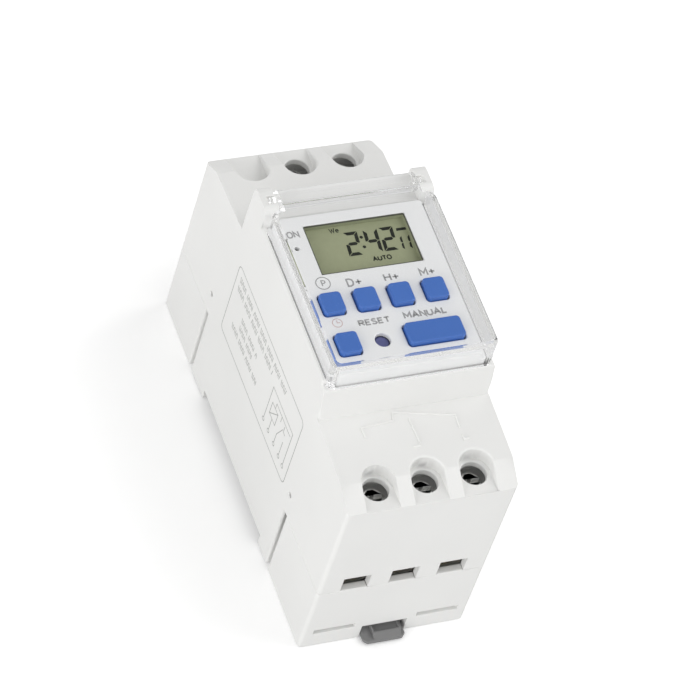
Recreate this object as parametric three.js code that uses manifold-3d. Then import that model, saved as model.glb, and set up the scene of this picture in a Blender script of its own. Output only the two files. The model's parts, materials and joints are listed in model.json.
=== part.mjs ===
// A digital timer switch for a mounting rail, two modules wide, lying on its back.
// Millimetres. x runs across the case, y along it to the supply end, z out of the display.

import * as THREE from "three";
import { mergeVertices } from "three/addons/utils/BufferGeometryUtils.js";
import Module from "manifold-3d";

const wasm = await Module();
wasm.setup();

// Case
const caseWidth = 35.5;
const caseLength = 86.6;
const wall = 1.5;
const edgeRadius = 0.9;
const seamHeight = 18.8;
const endHeight = 45.9;
const stripRun = 5.5;
const stripHeight = 48.8;
const shoulderHeight = 49.8;
const noseLength = 47.4;
const noseTaper = 1.4;
const lipHeight = 57.3;
const rimHeight = 58.6;

// Clearances: fit for what moves or drops in, seat under what rests, overrun for every cut
const fit = 0.3;
const seat = 0.1;
const overrun = 1;

// Rail recess in the back, and the skirt of the front housing beside it
const railWidth = 35;
const railPlay = 0.9;
const railDepth = 2.7;
const railEdge = 1.3;
const skirtNear = 23.1;
const skirtFar = 25.6;
const grooveWidth = 1.2;

// Terminals
const terminalEdge = 7.6;
const terminalInset = 4.95;
const pitRadius = 3.5;
const screwHole = 5.3;
const slotWidth = 5.7;
const slotHeight = 3.95;
const slotLow = 19.05;
const chamberWall = 1;
const chamberDepth = 7.8;
const screwDepth = 2.8;

// Front panel, display and keys
const panelHeight = 60.5;
const panelStep = 0.95;
const panelThickness = 1.2;
const windowLeft = 4.36;
const windowRight = 4.44;
const windowLength = 11.8;
const windowY = 7.63;
const keyLeft = 3.77;
const keyRight = 4.83;
const keyGap = 2.73;
const keyRowY = -5.57;
const keyRowStep = 9.55;
const keyLength = 4.85;
const keyProud = 1.1;
const keyTravel = 0.8;
const resetShift = 0.08;
const resetRadius = 1.3;
const resetFlange = 0.7;
const resetTravel = 0.4;
const ledInset = 1.54;
const ledY = 8.63;

// Cover
const coverInset = 0.55;
const coverWall = 1.2;
const coverTop = 64.5;
const hingeY = 19.3;
const barrelRadius = 2.1;
const earWidth = 3.05;
const earHeight = 63.4;
const earFront = 16.4;
const earTaper = 0.9;
const hingePin = 0.9;

// Boards
const boardThickness = 1.6;
const boardTop = 11.9;
const displayTop = 54.2;

// Rail clip
const clipWidth = 9;
const clipReach = 2.2;
const clipGrip = 1.5;
const clipTravel = 3;
const notchHeight = 3.9;

const halfWidth = caseWidth / 2;
const halfLength = caseLength / 2;
const noseHalf = noseLength / 2;
const innerHalf = halfWidth - wall;
const railHalf = (railWidth + railPlay) / 2;
const pitch = halfWidth - terminalEdge;
const terminalY = halfLength - terminalInset;
const chamberEnd = halfLength - wall - chamberDepth;
const plateUnder = panelHeight - panelThickness;
const keyTop = panelHeight + keyProud;
const flangeOut = innerHalf - fit;
const panelHalf = flangeOut - panelStep;
const windowWidth = 2 * panelHalf - windowLeft - windowRight;
const windowX = (windowLeft - windowRight) / 2;
const keyRowX = keyLeft - panelHalf;
const keyPitch = (2 * panelHalf - keyLeft - keyRight) / 3;
const keyWidth = keyPitch - keyGap;
const manualX = keyRowX + (5 * keyPitch) / 2;
const manualWidth = keyPitch + keyWidth;
const resetX = keyRowX + keyPitch + resetShift;
const ledX = ledInset - panelHalf;
const hingeZ = coverTop - barrelRadius;
const earInner = halfWidth - earWidth;
const mergeShare = 0.001;
const roundSteps = 24;
const smallSteps = 12;

// Materials
const plastic = (color, roughness) => new THREE.MeshStandardMaterial({ color, roughness, metalness: 0 });
const metal = (color, roughness) => new THREE.MeshStandardMaterial({ color, roughness, metalness: 1 });
const caseWhite = plastic(0xe9e9e7, 0.45);
const panelWhite = plastic(0xdcdcda, 0.5);
const keyBlue = plastic(0x3f6fc8, 0.45);
const clipGrey = plastic(0x828282, 0.5);
const boardGreen = plastic(0x2f6b3c, 0.6);
const black = plastic(0x1c1c1e, 0.5);
const silicone = plastic(0x9a9a98, 0.8);
const steel = metal(0xb9bcc0, 0.35);
const brass = metal(0xc9a65a, 0.35);
const copper = metal(0xb87333, 0.4);
const displayOlive = plastic(0x8e947a, 0.2);
const clear = plastic(0xf4f6f8, 0.08);
clear.transparent = true;
clear.opacity = 0.3;

// Solids

// A closed geometry as a solid that can be joined and cut.
function solid(geometry) {
  geometry.deleteAttribute("normal");
  geometry.deleteAttribute("uv");
  const merged = mergeVertices(geometry, seat * mergeShare);
  const mesh = new wasm.Mesh({
    numProp: 3,
    vertProperties: merged.attributes.position.array,
    triVerts: new Uint32Array(merged.index.array),
  });
  return new wasm.Manifold(mesh);
}

// A box from its low to its high value on each axis.
function box([x0, x1], [y0, y1], [z0, z1]) {
  const geometry = new THREE.BoxGeometry(x1 - x0, y1 - y0, z1 - z0);
  return solid(geometry.translate((x0 + x1) / 2, (y0 + y1) / 2, (z0 + z1) / 2));
}

// A round bar upright at (x, y), narrower at its top where topRadius says so.
function post(x, y, radius, [z0, z1], steps = roundSteps, topRadius = radius) {
  const geometry = new THREE.CylinderGeometry(topRadius, radius, z1 - z0, steps);
  return solid(geometry.rotateX(Math.PI / 2).translate(x, y, (z0 + z1) / 2));
}

// A round bar along x at (y, z).
function rodX([x0, x1], y, z, radius, steps = roundSteps) {
  const geometry = new THREE.CylinderGeometry(radius, radius, x1 - x0, steps);
  return solid(geometry.rotateZ(-Math.PI / 2).translate((x0 + x1) / 2, y, z));
}

// A round bar along y at (x, z).
function rodY(x, [y0, y1], z, radius, steps = roundSteps) {
  const geometry = new THREE.CylinderGeometry(radius, radius, y1 - y0, steps);
  return solid(geometry.translate(x, (y0 + y1) / 2, z));
}

// A side outline in y and z, drawn out along x.
function alongX(shape, [x0, x1], curveSegments = 4) {
  const geometry = new THREE.ExtrudeGeometry(shape, { depth: x1 - x0, bevelEnabled: false, curveSegments });
  const toYZ = new THREE.Matrix4().makeBasis(
    new THREE.Vector3(0, 1, 0),
    new THREE.Vector3(0, 0, 1),
    new THREE.Vector3(1, 0, 0),
  );
  return solid(geometry.applyMatrix4(toYZ).translate(x0, 0, 0));
}

// A plan outline in x and y, drawn up along z.
function alongZ(shape, [z0, z1], curveSegments = 4) {
  const geometry = new THREE.ExtrudeGeometry(shape, { depth: z1 - z0, bevelEnabled: false, curveSegments });
  return solid(geometry.translate(0, 0, z0));
}

function outline(points) {
  return new THREE.Shape(points.map(([a, b]) => new THREE.Vector2(a, b)));
}

// A rectangle with round corners.
function roundedPlan([x0, x1], [y0, y1], radius) {
  const shape = new THREE.Shape();
  shape.absarc(x1 - radius, y0 + radius, radius, -Math.PI / 2, 0, false);
  shape.absarc(x1 - radius, y1 - radius, radius, 0, Math.PI / 2, false);
  shape.absarc(x0 + radius, y1 - radius, radius, Math.PI / 2, Math.PI, false);
  shape.absarc(x0 + radius, y0 + radius, radius, Math.PI, Math.PI * 1.5, false);
  return shape;
}

// A block with round corners, whose upper and lower edges are rounded by the size of soft.
function softBlock([x0, x1], [y0, y1], [z0, z1], radius, soft) {
  const plan = roundedPlan([x0 + soft, x1 - soft], [y0 + soft, y1 - soft], radius);
  const geometry = new THREE.ExtrudeGeometry(plan, {
    depth: z1 - z0 - 2 * soft,
    bevelThickness: soft,
    bevelSize: soft,
    bevelSegments: 2,
    curveSegments: 3,
  });
  return solid(geometry.translate(0, 0, z0 + soft));
}

const both = (size) => [-size, size];
const around = (middle, size) => [middle - size / 2, middle + size / 2];
const joined = (solids) => solids.reduce((all, next) => all.add(next));
const mirrored = ([low, high]) => [-high, -low];

const model = new THREE.Group();

// A named piece made from a solid.
function piece(name, shape, material) {
  const made = shape.getMesh();
  const geometry = new THREE.BufferGeometry();
  geometry.setAttribute("position", new THREE.BufferAttribute(made.vertProperties, 3));
  geometry.setIndex(new THREE.BufferAttribute(made.triVerts, 1));
  geometry.computeVertexNormals();
  const mesh = new THREE.Mesh(geometry, material);
  mesh.name = name;
  model.add(mesh);
}

// Terminals: side is -1 at the load end and 1 at the supply end, whose left place is blind.
const terminals = [
  { name: "load_common", x: -pitch, side: -1 },
  { name: "load_closing", x: 0, side: -1 },
  { name: "load_opening", x: pitch, side: -1 },
  { name: "supply_line", x: 0, side: 1 },
  { name: "supply_neutral", x: pitch, side: 1 },
];
const bySide = (side, [low, high]) => (side < 0 ? mirrored([low, high]) : [low, high]);

// Heights inside a terminal, from the back to the screw's head
const shelfTop = seamHeight - wall - seat * 2;
const busThickness = 1;
const cageWall = 0.9;
const cageSpace = 0.775;
const cageHalf = pitch / 2 - chamberWall / 2 - cageSpace;
const busWidth = 2 * (cageHalf - cageWall - fit - seat);
const busLow = slotLow + slotHeight;
const busTop = busLow + busThickness;
const headTop = endHeight - screwDepth;
const headHeight = 2.4;
const headRadius = 2.35;
const shankRadius = 1.75;
const headLow = headTop - headHeight;
const seatTop = headLow - fit;

// Back housing: a tray with the rail recess, the clip's guide and the terminal shelves.
const blockNear = -skirtNear - grooveWidth;
const blockFar = skirtFar + grooveWidth;
const baseTop = seamHeight - seat / 2;
const baseFloor = 6;
const guideHalf = clipWidth / 2 + fit;
const flangeHalf = clipWidth / 2 + wall;
const flangeLow = 1.5;
const flangeStart = -halfLength + wall;
const flangeEnd = -railHalf - 2 * wall;
const hookDepth = 1.2;
const postRadius = 2;
const pegRadius = 0.8;
const boardLow = boardTop - boardThickness;
const boardSide = innerHalf - fit - wall - fit - seat;
const legOut = chamberEnd - chamberWall - fit - seat;
const legIn = legOut - busThickness;
const footLength = 3.2;
const footOverlap = 1.4;
const boardEnd = legIn - footLength + footOverlap;
const postInsetX = 2.3;
const postInsetY = 7.5;
const postX = boardSide - postInsetX;
const postY = boardEnd - postInsetY;

function backHousing() {
  const midHalf = innerHalf - fit;
  const blocks = alongZ(roundedPlan(both(halfWidth), both(halfLength), edgeRadius), [0, baseTop]).subtract(
    box(both(caseWidth), [blockNear, blockFar], [-overrun, baseTop + overrun]),
  );
  const middle = box(both(midHalf), [blockNear - wall, blockFar + wall], [0, baseTop]);
  const room = joined([
    box(both(midHalf - wall), both(halfLength - wall), [baseFloor, baseTop + overrun]),
    box(both(innerHalf), [-halfLength + wall, blockNear - wall], [baseFloor, baseTop + overrun]),
    box(both(innerHalf), [blockFar + wall, halfLength - wall], [baseFloor, baseTop + overrun]),
  ]);
  let body = blocks.add(middle).subtract(room);
  for (const side of [-1, 1]) {
    const shelf = bySide(side, [chamberEnd - chamberWall, halfLength - wall / 2]);
    body = body.add(box(both(innerHalf + wall / 2), shelf, [shelfTop - wall, shelfTop]));
    for (const end of [-1, 1]) {
      const support = post(side * postX, end * postY, postRadius, [baseFloor - wall / 2, boardLow - seat]);
      const peg = post(side * postX, end * postY, pegRadius, [baseFloor, boardTop], smallSteps);
      body = body.add(support).add(peg);
    }
  }
  for (const { x, side } of terminals) {
    const tab = bySide(side, [halfLength - wall, halfLength]);
    body = body.add(box(around(x, slotWidth - 2 * seat), tab, [baseTop - wall, slotLow]));
  }
  return body.subtract(joined(backCuts()));
}

// What is cut from the back housing's underside and end faces.
function backCuts() {
  const low = -overrun;
  const slotDepth = 1.4;
  const lowSlotBottom = 4.2;
  const lowSlotTop = 5.5;
  const lowSlotInner = 6.6;
  const lowSlotOuter = 15.4;
  const lowSlot = [lowSlotInner, lowSlotOuter];
  const pocketTop = lowSlotBottom - fit;
  const pocketWall = 2.3;
  const midPocket = halfWidth - 2 * pocketWall;
  const blockPocket = [flangeHalf + wall, midPocket];
  const cuts = [
    box(both(caseWidth), both(railHalf), [low, railDepth]),
    box(both(caseWidth), [railHalf - overrun, railHalf + hookDepth], [railDepth - railEdge, railDepth]),
    box(both(guideHalf), [-halfLength - overrun, -railHalf + overrun], [low, notchHeight]),
    box(both(flangeHalf + fit), [flangeStart, flangeEnd], [flangeLow, notchHeight]),
  ];
  for (const x of [lowSlot, mirrored(lowSlot)]) {
    for (const side of [-1, 1]) {
      const y = bySide(side, [halfLength - slotDepth, halfLength + overrun]);
      cuts.push(box(x, y, [lowSlotBottom, lowSlotTop]));
    }
  }
  for (const x of [blockPocket, mirrored(blockPocket)]) {
    cuts.push(box(x, [-halfLength + pocketWall, -railHalf - pocketWall], [low, pocketTop]));
  }
  const farPocket = [railHalf + 2 * pocketWall, halfLength - pocketWall];
  for (const x of [[wall / 2, midPocket], mirrored([wall / 2, midPocket])]) {
    cuts.push(box(x, farPocket, [low, pocketTop]));
  }
  return cuts;
}

// Front housing: the shoulders over the terminals, the nose round the display, the hinge ears.
function frontHousing() {
  const low = seamHeight + seat / 2;
  const hull = frontHull(low);
  const ribs = joined(frontRibs(low)).intersect(hull);
  return hull.subtract(frontRoom()).add(ribs).subtract(joined(frontCuts(low)));
}

// The outer form of the front housing, filled.
function frontHull(low) {
  const shoulders = outline([
    [-halfLength, low],
    [halfLength, low],
    [halfLength, endHeight],
    [halfLength - stripRun, stripHeight],
    [noseHalf, shoulderHeight],
    [-noseHalf, shoulderHeight],
    [-halfLength + stripRun, stripHeight],
    [-halfLength, endHeight],
  ]);
  const plan = roundedPlan(both(halfWidth), both(halfLength), edgeRadius);
  const body = alongX(shoulders, both(caseWidth)).intersect(alongZ(plan, [0, shoulderHeight + overrun]));
  const skirtLow = fit;
  const skirt = box(both(halfWidth), [-skirtNear, skirtFar], [skirtLow, low + overrun]).subtract(
    box(both(caseWidth), both(railHalf), [0, railDepth]),
  );
  return body.add(skirt).add(noseHull());
}

// The nose with its two ears, whose tops are rounded.
function noseHull() {
  const foot = shoulderHeight - wall;
  const slope = noseTaper / (lipHeight - shoulderHeight);
  const nearTop = -noseHalf + slope * (rimHeight - shoulderHeight);
  const farTop = noseHalf - earTaper;
  const round = earWidth / 2;
  const side = new THREE.Shape();
  side.moveTo(-noseHalf, shoulderHeight);
  side.lineTo(-noseHalf, foot);
  side.lineTo(noseHalf, foot);
  side.lineTo(noseHalf, shoulderHeight);
  side.lineTo(farTop, earHeight - round);
  side.quadraticCurveTo(farTop, earHeight, farTop - round, earHeight);
  side.lineTo(earFront + round, earHeight);
  side.quadraticCurveTo(earFront, earHeight, earFront, earHeight - round);
  side.lineTo(earFront, rimHeight);
  side.lineTo(nearTop, rimHeight);
  const plan = roundedPlan(both(halfWidth), both(noseHalf), edgeRadius);
  const nose = alongX(side, both(caseWidth)).intersect(alongZ(plan, [foot - overrun, earHeight + overrun]));
  const lip = box(both(caseWidth), [-caseLength, -noseHalf + noseTaper + wall], [lipHeight, earHeight]);
  const hingeFloor = hingeZ - barrelRadius - fit;
  const bay = box(both(earInner), [earFront - overrun, caseLength], [hingeFloor, earHeight + overrun]);
  return nose.subtract(lip).subtract(bay);
}

// The room inside the front housing, open at the back and under the front panel.
const roomNear = -noseHalf + noseTaper + wall - seat;
const roomFar = earFront - seat;
function frontRoom() {
  const hingeUnder = hingeZ - barrelRadius - fit - wall;
  const under = [
    [-halfLength + wall, -overrun],
    [halfLength - wall, -overrun],
    [halfLength - wall, endHeight - wall],
    [halfLength - stripRun, stripHeight - wall],
    [noseHalf - wall, shoulderHeight - wall],
    [noseHalf - wall - earTaper, hingeUnder],
    [roomFar, hingeUnder],
    [roomFar, coverTop],
    [roomNear, coverTop],
    [roomNear, lipHeight - wall],
    [-noseHalf + wall, shoulderHeight - wall],
    [-halfLength + stripRun, stripHeight - wall],
    [-halfLength + wall, endHeight - wall],
  ];
  return alongX(outline(under), both(innerHalf));
}

// Walls between the terminals, cups round the pits, the screws' seats and the display board's ledges.
const cupRadius = pitRadius + wall;
const displayLow = displayTop - boardThickness;
const ledgeDepth = 1.25;
function frontRibs(low) {
  const ribs = [];
  for (const side of [-1, 1]) {
    const back = bySide(side, [chamberEnd - chamberWall, chamberEnd]);
    const chamber = bySide(side, [chamberEnd - chamberWall, halfLength]);
    ribs.push(box(both(halfWidth), back, [low, shoulderHeight]));
    ribs.push(box(both(halfWidth), chamber, [seatTop - wall, seatTop]));
    for (const x of [-pitch / 2, pitch / 2]) {
      ribs.push(box(around(x, chamberWall), chamber, [low, shoulderHeight]));
    }
    const run = bySide(side, [terminalY, halfLength]);
    for (const x of [-pitch, 0, pitch]) {
      ribs.push(post(x, side * terminalY, cupRadius, [endHeight - wall, shoulderHeight]));
      ribs.push(box(around(x, 2 * cupRadius), run, [endHeight - wall, shoulderHeight]));
    }
    const ledge = side < 0 ? [-halfWidth, -innerHalf + ledgeDepth] : [innerHalf - ledgeDepth, halfWidth];
    ribs.push(box(ledge, [roomNear - wall, roomFar + wall], [displayLow - seat - wall, displayLow - seat]));
  }
  return ribs;
}

// Holes and pits of the front housing.
function frontCuts(low) {
  const keyhole = 0.65;
  const keyholeHeight = 24.2;
  const keyholeNear = 23.1;
  const keyholeFar = 26.6;
  const cuts = [];
  for (const side of [-1, 1]) {
    for (const x of [-pitch, 0, pitch]) {
      const y = side * terminalY;
      const run = bySide(side, [terminalY, halfLength + overrun]);
      cuts.push(post(x, y, pitRadius, [endHeight, shoulderHeight + overrun]));
      cuts.push(box(around(x, 2 * pitRadius), run, [endHeight, shoulderHeight + overrun]));
      cuts.push(post(x, y, shankRadius + fit + seat, [seatTop - wall - overrun, seatTop + overrun]));
    }
  }
  for (const { x, side } of terminals) {
    const y = side * terminalY;
    const mouth = bySide(side, [halfLength - wall - fit, halfLength + overrun]);
    const notch = bySide(side, [chamberEnd - chamberWall - overrun, chamberEnd + overrun]);
    const reach = [busLow - fit, busTop + fit];
    cuts.push(post(x, y, screwHole / 2, [endHeight - 2 * wall, endHeight + overrun]));
    cuts.push(box(around(x, slotWidth), mouth, [low - overrun, slotLow + slotHeight]));
    cuts.push(box(around(x, busWidth + 2 * fit), notch, reach));
  }
  for (const y of [-keyholeNear, keyholeFar]) {
    cuts.push(rodX(both(caseWidth), y, keyholeHeight, keyhole, smallSteps));
  }
  const pinEnd = earInner + earWidth / 2 + seat;
  cuts.push(rodX(both(pinEnd), hingeY, hingeZ, hingePin + fit, smallSteps));
  return cuts;
}

// Front panel: the raised plate with the window and key holes, its flange and its skirt.
const flangeNear = roomNear + fit;
const flangeFar = roomFar - fit;
const panelRim = 0.6;
const pocketHalf = panelHalf - panelRim;
function frontPanel() {
  const flangeThickness = 1;
  const flangeUnder = rimHeight - flangeThickness;
  const skirtWall = 1;
  const corner = 0.6;
  const plate = roundedPlan(both(panelHalf), [flangeNear, flangeFar], corner);
  const base = roundedPlan(both(flangeOut), [flangeNear, flangeFar], corner);
  const pocketY = [flangeNear + panelRim, flangeFar - panelRim];
  const pocket = box(both(pocketHalf), pocketY, [displayTop, plateUnder]);
  const skirtRoom = box(
    both(flangeOut - skirtWall),
    [flangeNear + skirtWall, flangeFar - skirtWall],
    [displayTop, flangeUnder],
  );
  const island = alongZ(plate, [flangeUnder, panelHeight]);
  const rim = alongZ(base, [displayTop + seat, rimHeight]);
  return rim.add(island).subtract(pocket).subtract(skirtRoom).subtract(joined(panelCuts()));
}

function panelCuts() {
  const high = panelHeight + overrun;
  const cuts = [box(around(windowX, windowWidth), around(windowY, windowLength), [displayTop, high])];
  for (const key of keys) {
    const holeX = around(key.x, key.width + 2 * keyPlay);
    const plan = roundedPlan(holeX, around(key.y, keyLength + 2 * keyPlay), keyCorner);
    cuts.push(alongZ(plan, [plateUnder - overrun, high], keyCornerSteps));
  }
  cuts.push(post(resetX, keyRowY - keyRowStep, resetRadius + fit, [plateUnder - overrun, high]));
  cuts.push(post(ledX, ledY, ledRadius / 2 + seat, [displayTop + overrun, high], smallSteps));
  return cuts;
}

// Keys: a soft cap, lugs that catch under the panel on two sides, and a stem over the mat.
const keyPlay = 0.25;
const keyCorner = 0.8;
const keyCornerSteps = 3;
const lugReach = 0.6;
const lugThickness = 0.7;
const stemRadius = 1.1;
const domeTop = 56;
const rowTwo = keyRowY - keyRowStep;
const keys = [
  { name: "program_key", x: keyRowX, y: keyRowY, width: keyWidth },
  { name: "day_key", x: keyRowX + keyPitch, y: keyRowY, width: keyWidth },
  { name: "hour_key", x: keyRowX + 2 * keyPitch, y: keyRowY, width: keyWidth },
  { name: "minute_key", x: keyRowX + 3 * keyPitch, y: keyRowY, width: keyWidth },
  { name: "clock_key", x: keyRowX, y: rowTwo, width: keyWidth },
  { name: "manual_key", x: manualX, y: rowTwo, width: manualWidth },
];

function keyCap({ x, y, width }) {
  const lugTop = plateUnder - fit;
  const lugLow = lugTop - lugThickness;
  const corner = keyCorner - keyPlay;
  const cap = softBlock(around(x, width), around(y, keyLength), [lugLow, keyTop], corner, keyPlay);
  const lugs = box(around(x, width - 2 * keyPlay), around(y, keyLength + 2 * lugReach), [lugLow, lugTop]);
  const stem = post(x, y, stemRadius, [domeTop + seat + keyTravel, lugTop], smallSteps);
  return cap.add(lugs).add(stem);
}

function resetButton() {
  const recess = 0.9;
  const flangeRadius = resetRadius + resetFlange;
  const lugTop = plateUnder - fit;
  const cap = post(resetX, rowTwo, resetRadius, [lugTop - lugThickness, panelHeight - recess]);
  const flange = post(resetX, rowTwo, flangeRadius, [lugTop - lugThickness, lugTop]);
  const stem = post(resetX, rowTwo, stemRadius, [domeTop + seat + resetTravel, lugTop], smallSteps);
  return cap.add(flange).add(stem);
}

// Silicone mat with one dome under each key.
function keypadMat() {
  const thickness = 0.7;
  const margin = 1.4;
  const matLow = displayTop + seat;
  const matTop = matLow + thickness;
  const domeRadius = 2;
  const reach = keyLength / 2;
  const matY = [rowTwo - reach - margin, keyRowY + reach + margin];
  let mat = box(both(pocketHalf - seat), matY, [matLow, matTop]);
  for (const { x, y } of [...keys, { x: resetX, y: rowTwo }]) {
    mat = mat.add(post(x, y, domeRadius, [matTop - thickness / 2, domeTop], smallSteps, stemRadius));
  }
  return mat;
}

// Display: the glass, the frame under it and the strip that links it to the board.
const glassMargin = 1.9;
const glassThickness = 2.1;
const glassTop = plateUnder - 2 * seat;
const glassLow = glassTop - glassThickness;
const ledRadius = 0.8;
const glassX = around(windowX, windowWidth + 2 * glassMargin);
const glassY = around(windowY - seat, windowLength + glassMargin);
const displayGlass = () => box(glassX, glassY, [glassLow, glassTop]);
const frameWall = 1.2;
const frameZ = [displayTop + seat, glassLow - seat];

function displayFrame() {
  const inner = ([low, high]) => [low + frameWall, high - frameWall];
  const ring = box(glassX, glassY, frameZ);
  return ring.subtract(box(inner(glassX), inner(glassY), [displayTop, glassTop]));
}

function contactStrip() {
  const stripWidth = 1.6;
  const near = glassY[0] + frameWall + seat;
  const x = [glassX[0] + frameWall + seat, glassX[1] - frameWall - seat];
  return box(x, [near, near + stripWidth], frameZ);
}

function displayBoard() {
  return box(both(flangeOut - seat), [flangeNear + seat, flangeFar - seat], [displayLow, displayTop]);
}

function indicatorLed() {
  const bodyHeight = 2.2;
  const low = displayTop + seat;
  const body = post(ledX, ledY, ledRadius, [low, low + bodyHeight], smallSteps);
  const tipZ = [low + bodyHeight - seat, low + bodyHeight + ledRadius];
  const tip = post(ledX, ledY, ledRadius, tipZ, smallSteps, ledRadius / 2);
  return body.add(tip);
}

// Parts under the display board.
const underDisplay = displayLow - seat;
function timerChip() {
  const chipSize = 10;
  const chipHeight = 1.5;
  const chipX = -5;
  const chipY = -10;
  return box(around(chipX, chipSize), around(chipY, chipSize), [underDisplay - chipHeight, underDisplay]);
}

function clockCrystal() {
  const crystalX = 4;
  const crystalLength = 6;
  const crystalY = -14;
  const radius = 1;
  return rodX(around(crystalX, crystalLength), crystalY, underDisplay - radius, radius, smallSteps);
}

function backupBattery() {
  const batteryX = 4;
  const batteryY = 5;
  const batteryRadius = 6.2;
  const rimRadius = 5.4;
  const batteryHeight = 3.4;
  const step = 0.6;
  const low = underDisplay - batteryHeight;
  const cell = post(batteryX, batteryY, batteryRadius, [low + step, underDisplay]);
  return cell.add(post(batteryX, batteryY, rimRadius, [low, underDisplay - step]));
}

// Flat ribbon from the display board down to the power board, along an S curve.
function ribbonLink() {
  const ribbonWidth = 10;
  const ribbonInset = 2;
  const ribbonEdge = 5.3;
  const ribbonX = [ribbonInset - boardSide, ribbonInset - boardSide + ribbonWidth];
  const ribbonFootY = ribbonEdge - boardEnd;
  const ribbonTopY = flangeNear + ribbonEdge / 2;
  const thickness = 0.9;
  const ribbonSteps = 12;
  const top = underDisplay;
  const foot = boardTop + seat;
  const bend = (top - foot) / 2;
  const middle = new THREE.CubicBezierCurve(
    new THREE.Vector2(ribbonTopY, top),
    new THREE.Vector2(ribbonTopY, top - bend),
    new THREE.Vector2(ribbonFootY, foot + bend),
    new THREE.Vector2(ribbonFootY, foot),
  );
  const left = [];
  const right = [];
  for (let i = 0; i <= ribbonSteps; i++) {
    const at = middle.getPoint(i / ribbonSteps);
    const along = middle.getTangent(i / ribbonSteps);
    left.push([at.x - (along.y * thickness) / 2, at.y + (along.x * thickness) / 2]);
    right.push([at.x + (along.y * thickness) / 2, at.y - (along.x * thickness) / 2]);
  }
  return alongX(outline([...left, ...right.reverse()]), ribbonX);
}

// Power board, with holes for the four pegs of the back housing.
function powerBoard() {
  let board = box(both(boardSide), both(boardEnd), [boardLow, boardTop]);
  for (const x of [-postX, postX]) {
    for (const y of [-postY, postY]) {
      const hole = post(x, y, pegRadius + fit, [boardLow - overrun, boardTop + overrun], smallSteps);
      board = board.subtract(hole);
    }
  }
  return board;
}

// Terminals

// Screw with a cross slot, whose tip bears on the bus bar.
function terminalScrew({ x, side }) {
  const y = side * terminalY;
  const slotDepth = 1.2;
  const slotGap = 0.9;
  const crossLength = 3.3;
  const chamfer = 0.4;
  const shank = post(x, y, shankRadius, [busTop + fit, headLow + chamfer], roundSteps);
  const head = post(x, y, headRadius, [headLow, headTop - chamfer]);
  const crown = post(x, y, headRadius, [headTop - chamfer, headTop], roundSteps, headRadius - chamfer);
  const depth = [headTop - slotDepth, headTop + overrun];
  const slot = box(around(x, 2 * (headRadius + overrun)), around(y, slotGap), depth);
  const cross = box(around(x, slotGap), around(y, crossLength), depth);
  return shank.add(head).add(crown).subtract(slot).subtract(cross);
}

// Cage that climbs the screw and lifts the wire against the bus bar.
const cageLength = 6;
const cageLow = shelfTop + fit;
const cageNut = 2.4;
const cageRoom = 2;
function clampCage({ x, side }) {
  const y = side * terminalY;
  const cageTop = busTop + cageRoom + cageNut;
  const inside = [slotLow, cageTop - cageNut];
  const block = box(around(x, 2 * cageHalf), around(y, cageLength), [cageLow, cageTop]);
  const tunnel = box(around(x, 2 * (cageHalf - cageWall)), around(y, cageLength + 2 * overrun), inside);
  const thread = post(x, y, shankRadius + fit, [inside[1] - overrun, cageTop + overrun]);
  return block.subtract(tunnel).subtract(thread);
}

// Bent strip from inside the cage, through the chamber's wall and down to the power board.
function busBar({ x, side }) {
  const footLow = boardTop + seat;
  const footEnd = legIn - footLength;
  const tip = terminalY + cageLength / 2 - fit;
  const points = [
    [tip, busTop],
    [legIn, busTop],
    [legIn, footLow + busThickness],
    [footEnd, footLow + busThickness],
    [footEnd, footLow],
    [legOut, footLow],
    [legOut, busLow],
    [tip, busLow],
  ];
  const placed = points.map(([y, z]) => [side * y, z]);
  return alongX(outline(side < 0 ? placed : placed.reverse()), around(x, busWidth));
}

// Rail clip: the pull tab, the slide with its flanges in the guide, and the hook.
function railClip() {
  const low = fit;
  const slideTop = 3;
  const flangeHeight = [flangeLow + fit, slideTop];
  const tabPlate = 0.8;
  const chamfer = 0.8;
  const gripLeft = 2.4;
  const gripRight = 3.6;
  const gripTop = 2.2;
  const gripSlope = 1.3;
  const gripRim = 0.5;
  const gripDish = 0.3;
  const half = clipWidth / 2;
  const tip = -halfLength - clipReach;
  const behind = -halfLength + wall;
  const hookTip = -railHalf + clipGrip;
  const hookTop = railDepth - railEdge + seat;
  const tab = outline([
    [-half + chamfer, tip],
    [half - chamfer, tip],
    [half, tip + chamfer],
    [half, behind],
    [-half, behind],
    [-half, tip + chamfer],
  ]);
  const block = outline([
    [tip + fit, low],
    [behind, low],
    [behind, gripTop],
    [tip + gripSlope, gripTop],
    [tip + fit, low + tabPlate],
  ]);
  const recess = box(
    [-gripLeft + gripRim, gripRight - gripRim],
    [tip + gripSlope + gripRim, behind - gripRim],
    [gripTop - gripDish, gripTop + overrun],
  );
  const slide = box(both(half), [behind - seat, -railHalf - fit], [low, slideTop]);
  const flangeY = [flangeStart + clipTravel + fit, flangeEnd - fit];
  const flanges = box(both(flangeHalf - fit / 2), flangeY, flangeHeight);
  const hook = alongX(
    outline([
      [-railHalf - overrun, low],
      [hookTip - hookTop + low, low],
      [hookTip, hookTop],
      [-railHalf - overrun, hookTop],
    ]),
    both(half),
  );
  const raised = alongX(block, [-gripLeft, gripRight]).subtract(recess);
  return alongZ(tab, [low, low + tabPlate]).add(raised).add(slide).add(flanges).add(hook);
}

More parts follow.
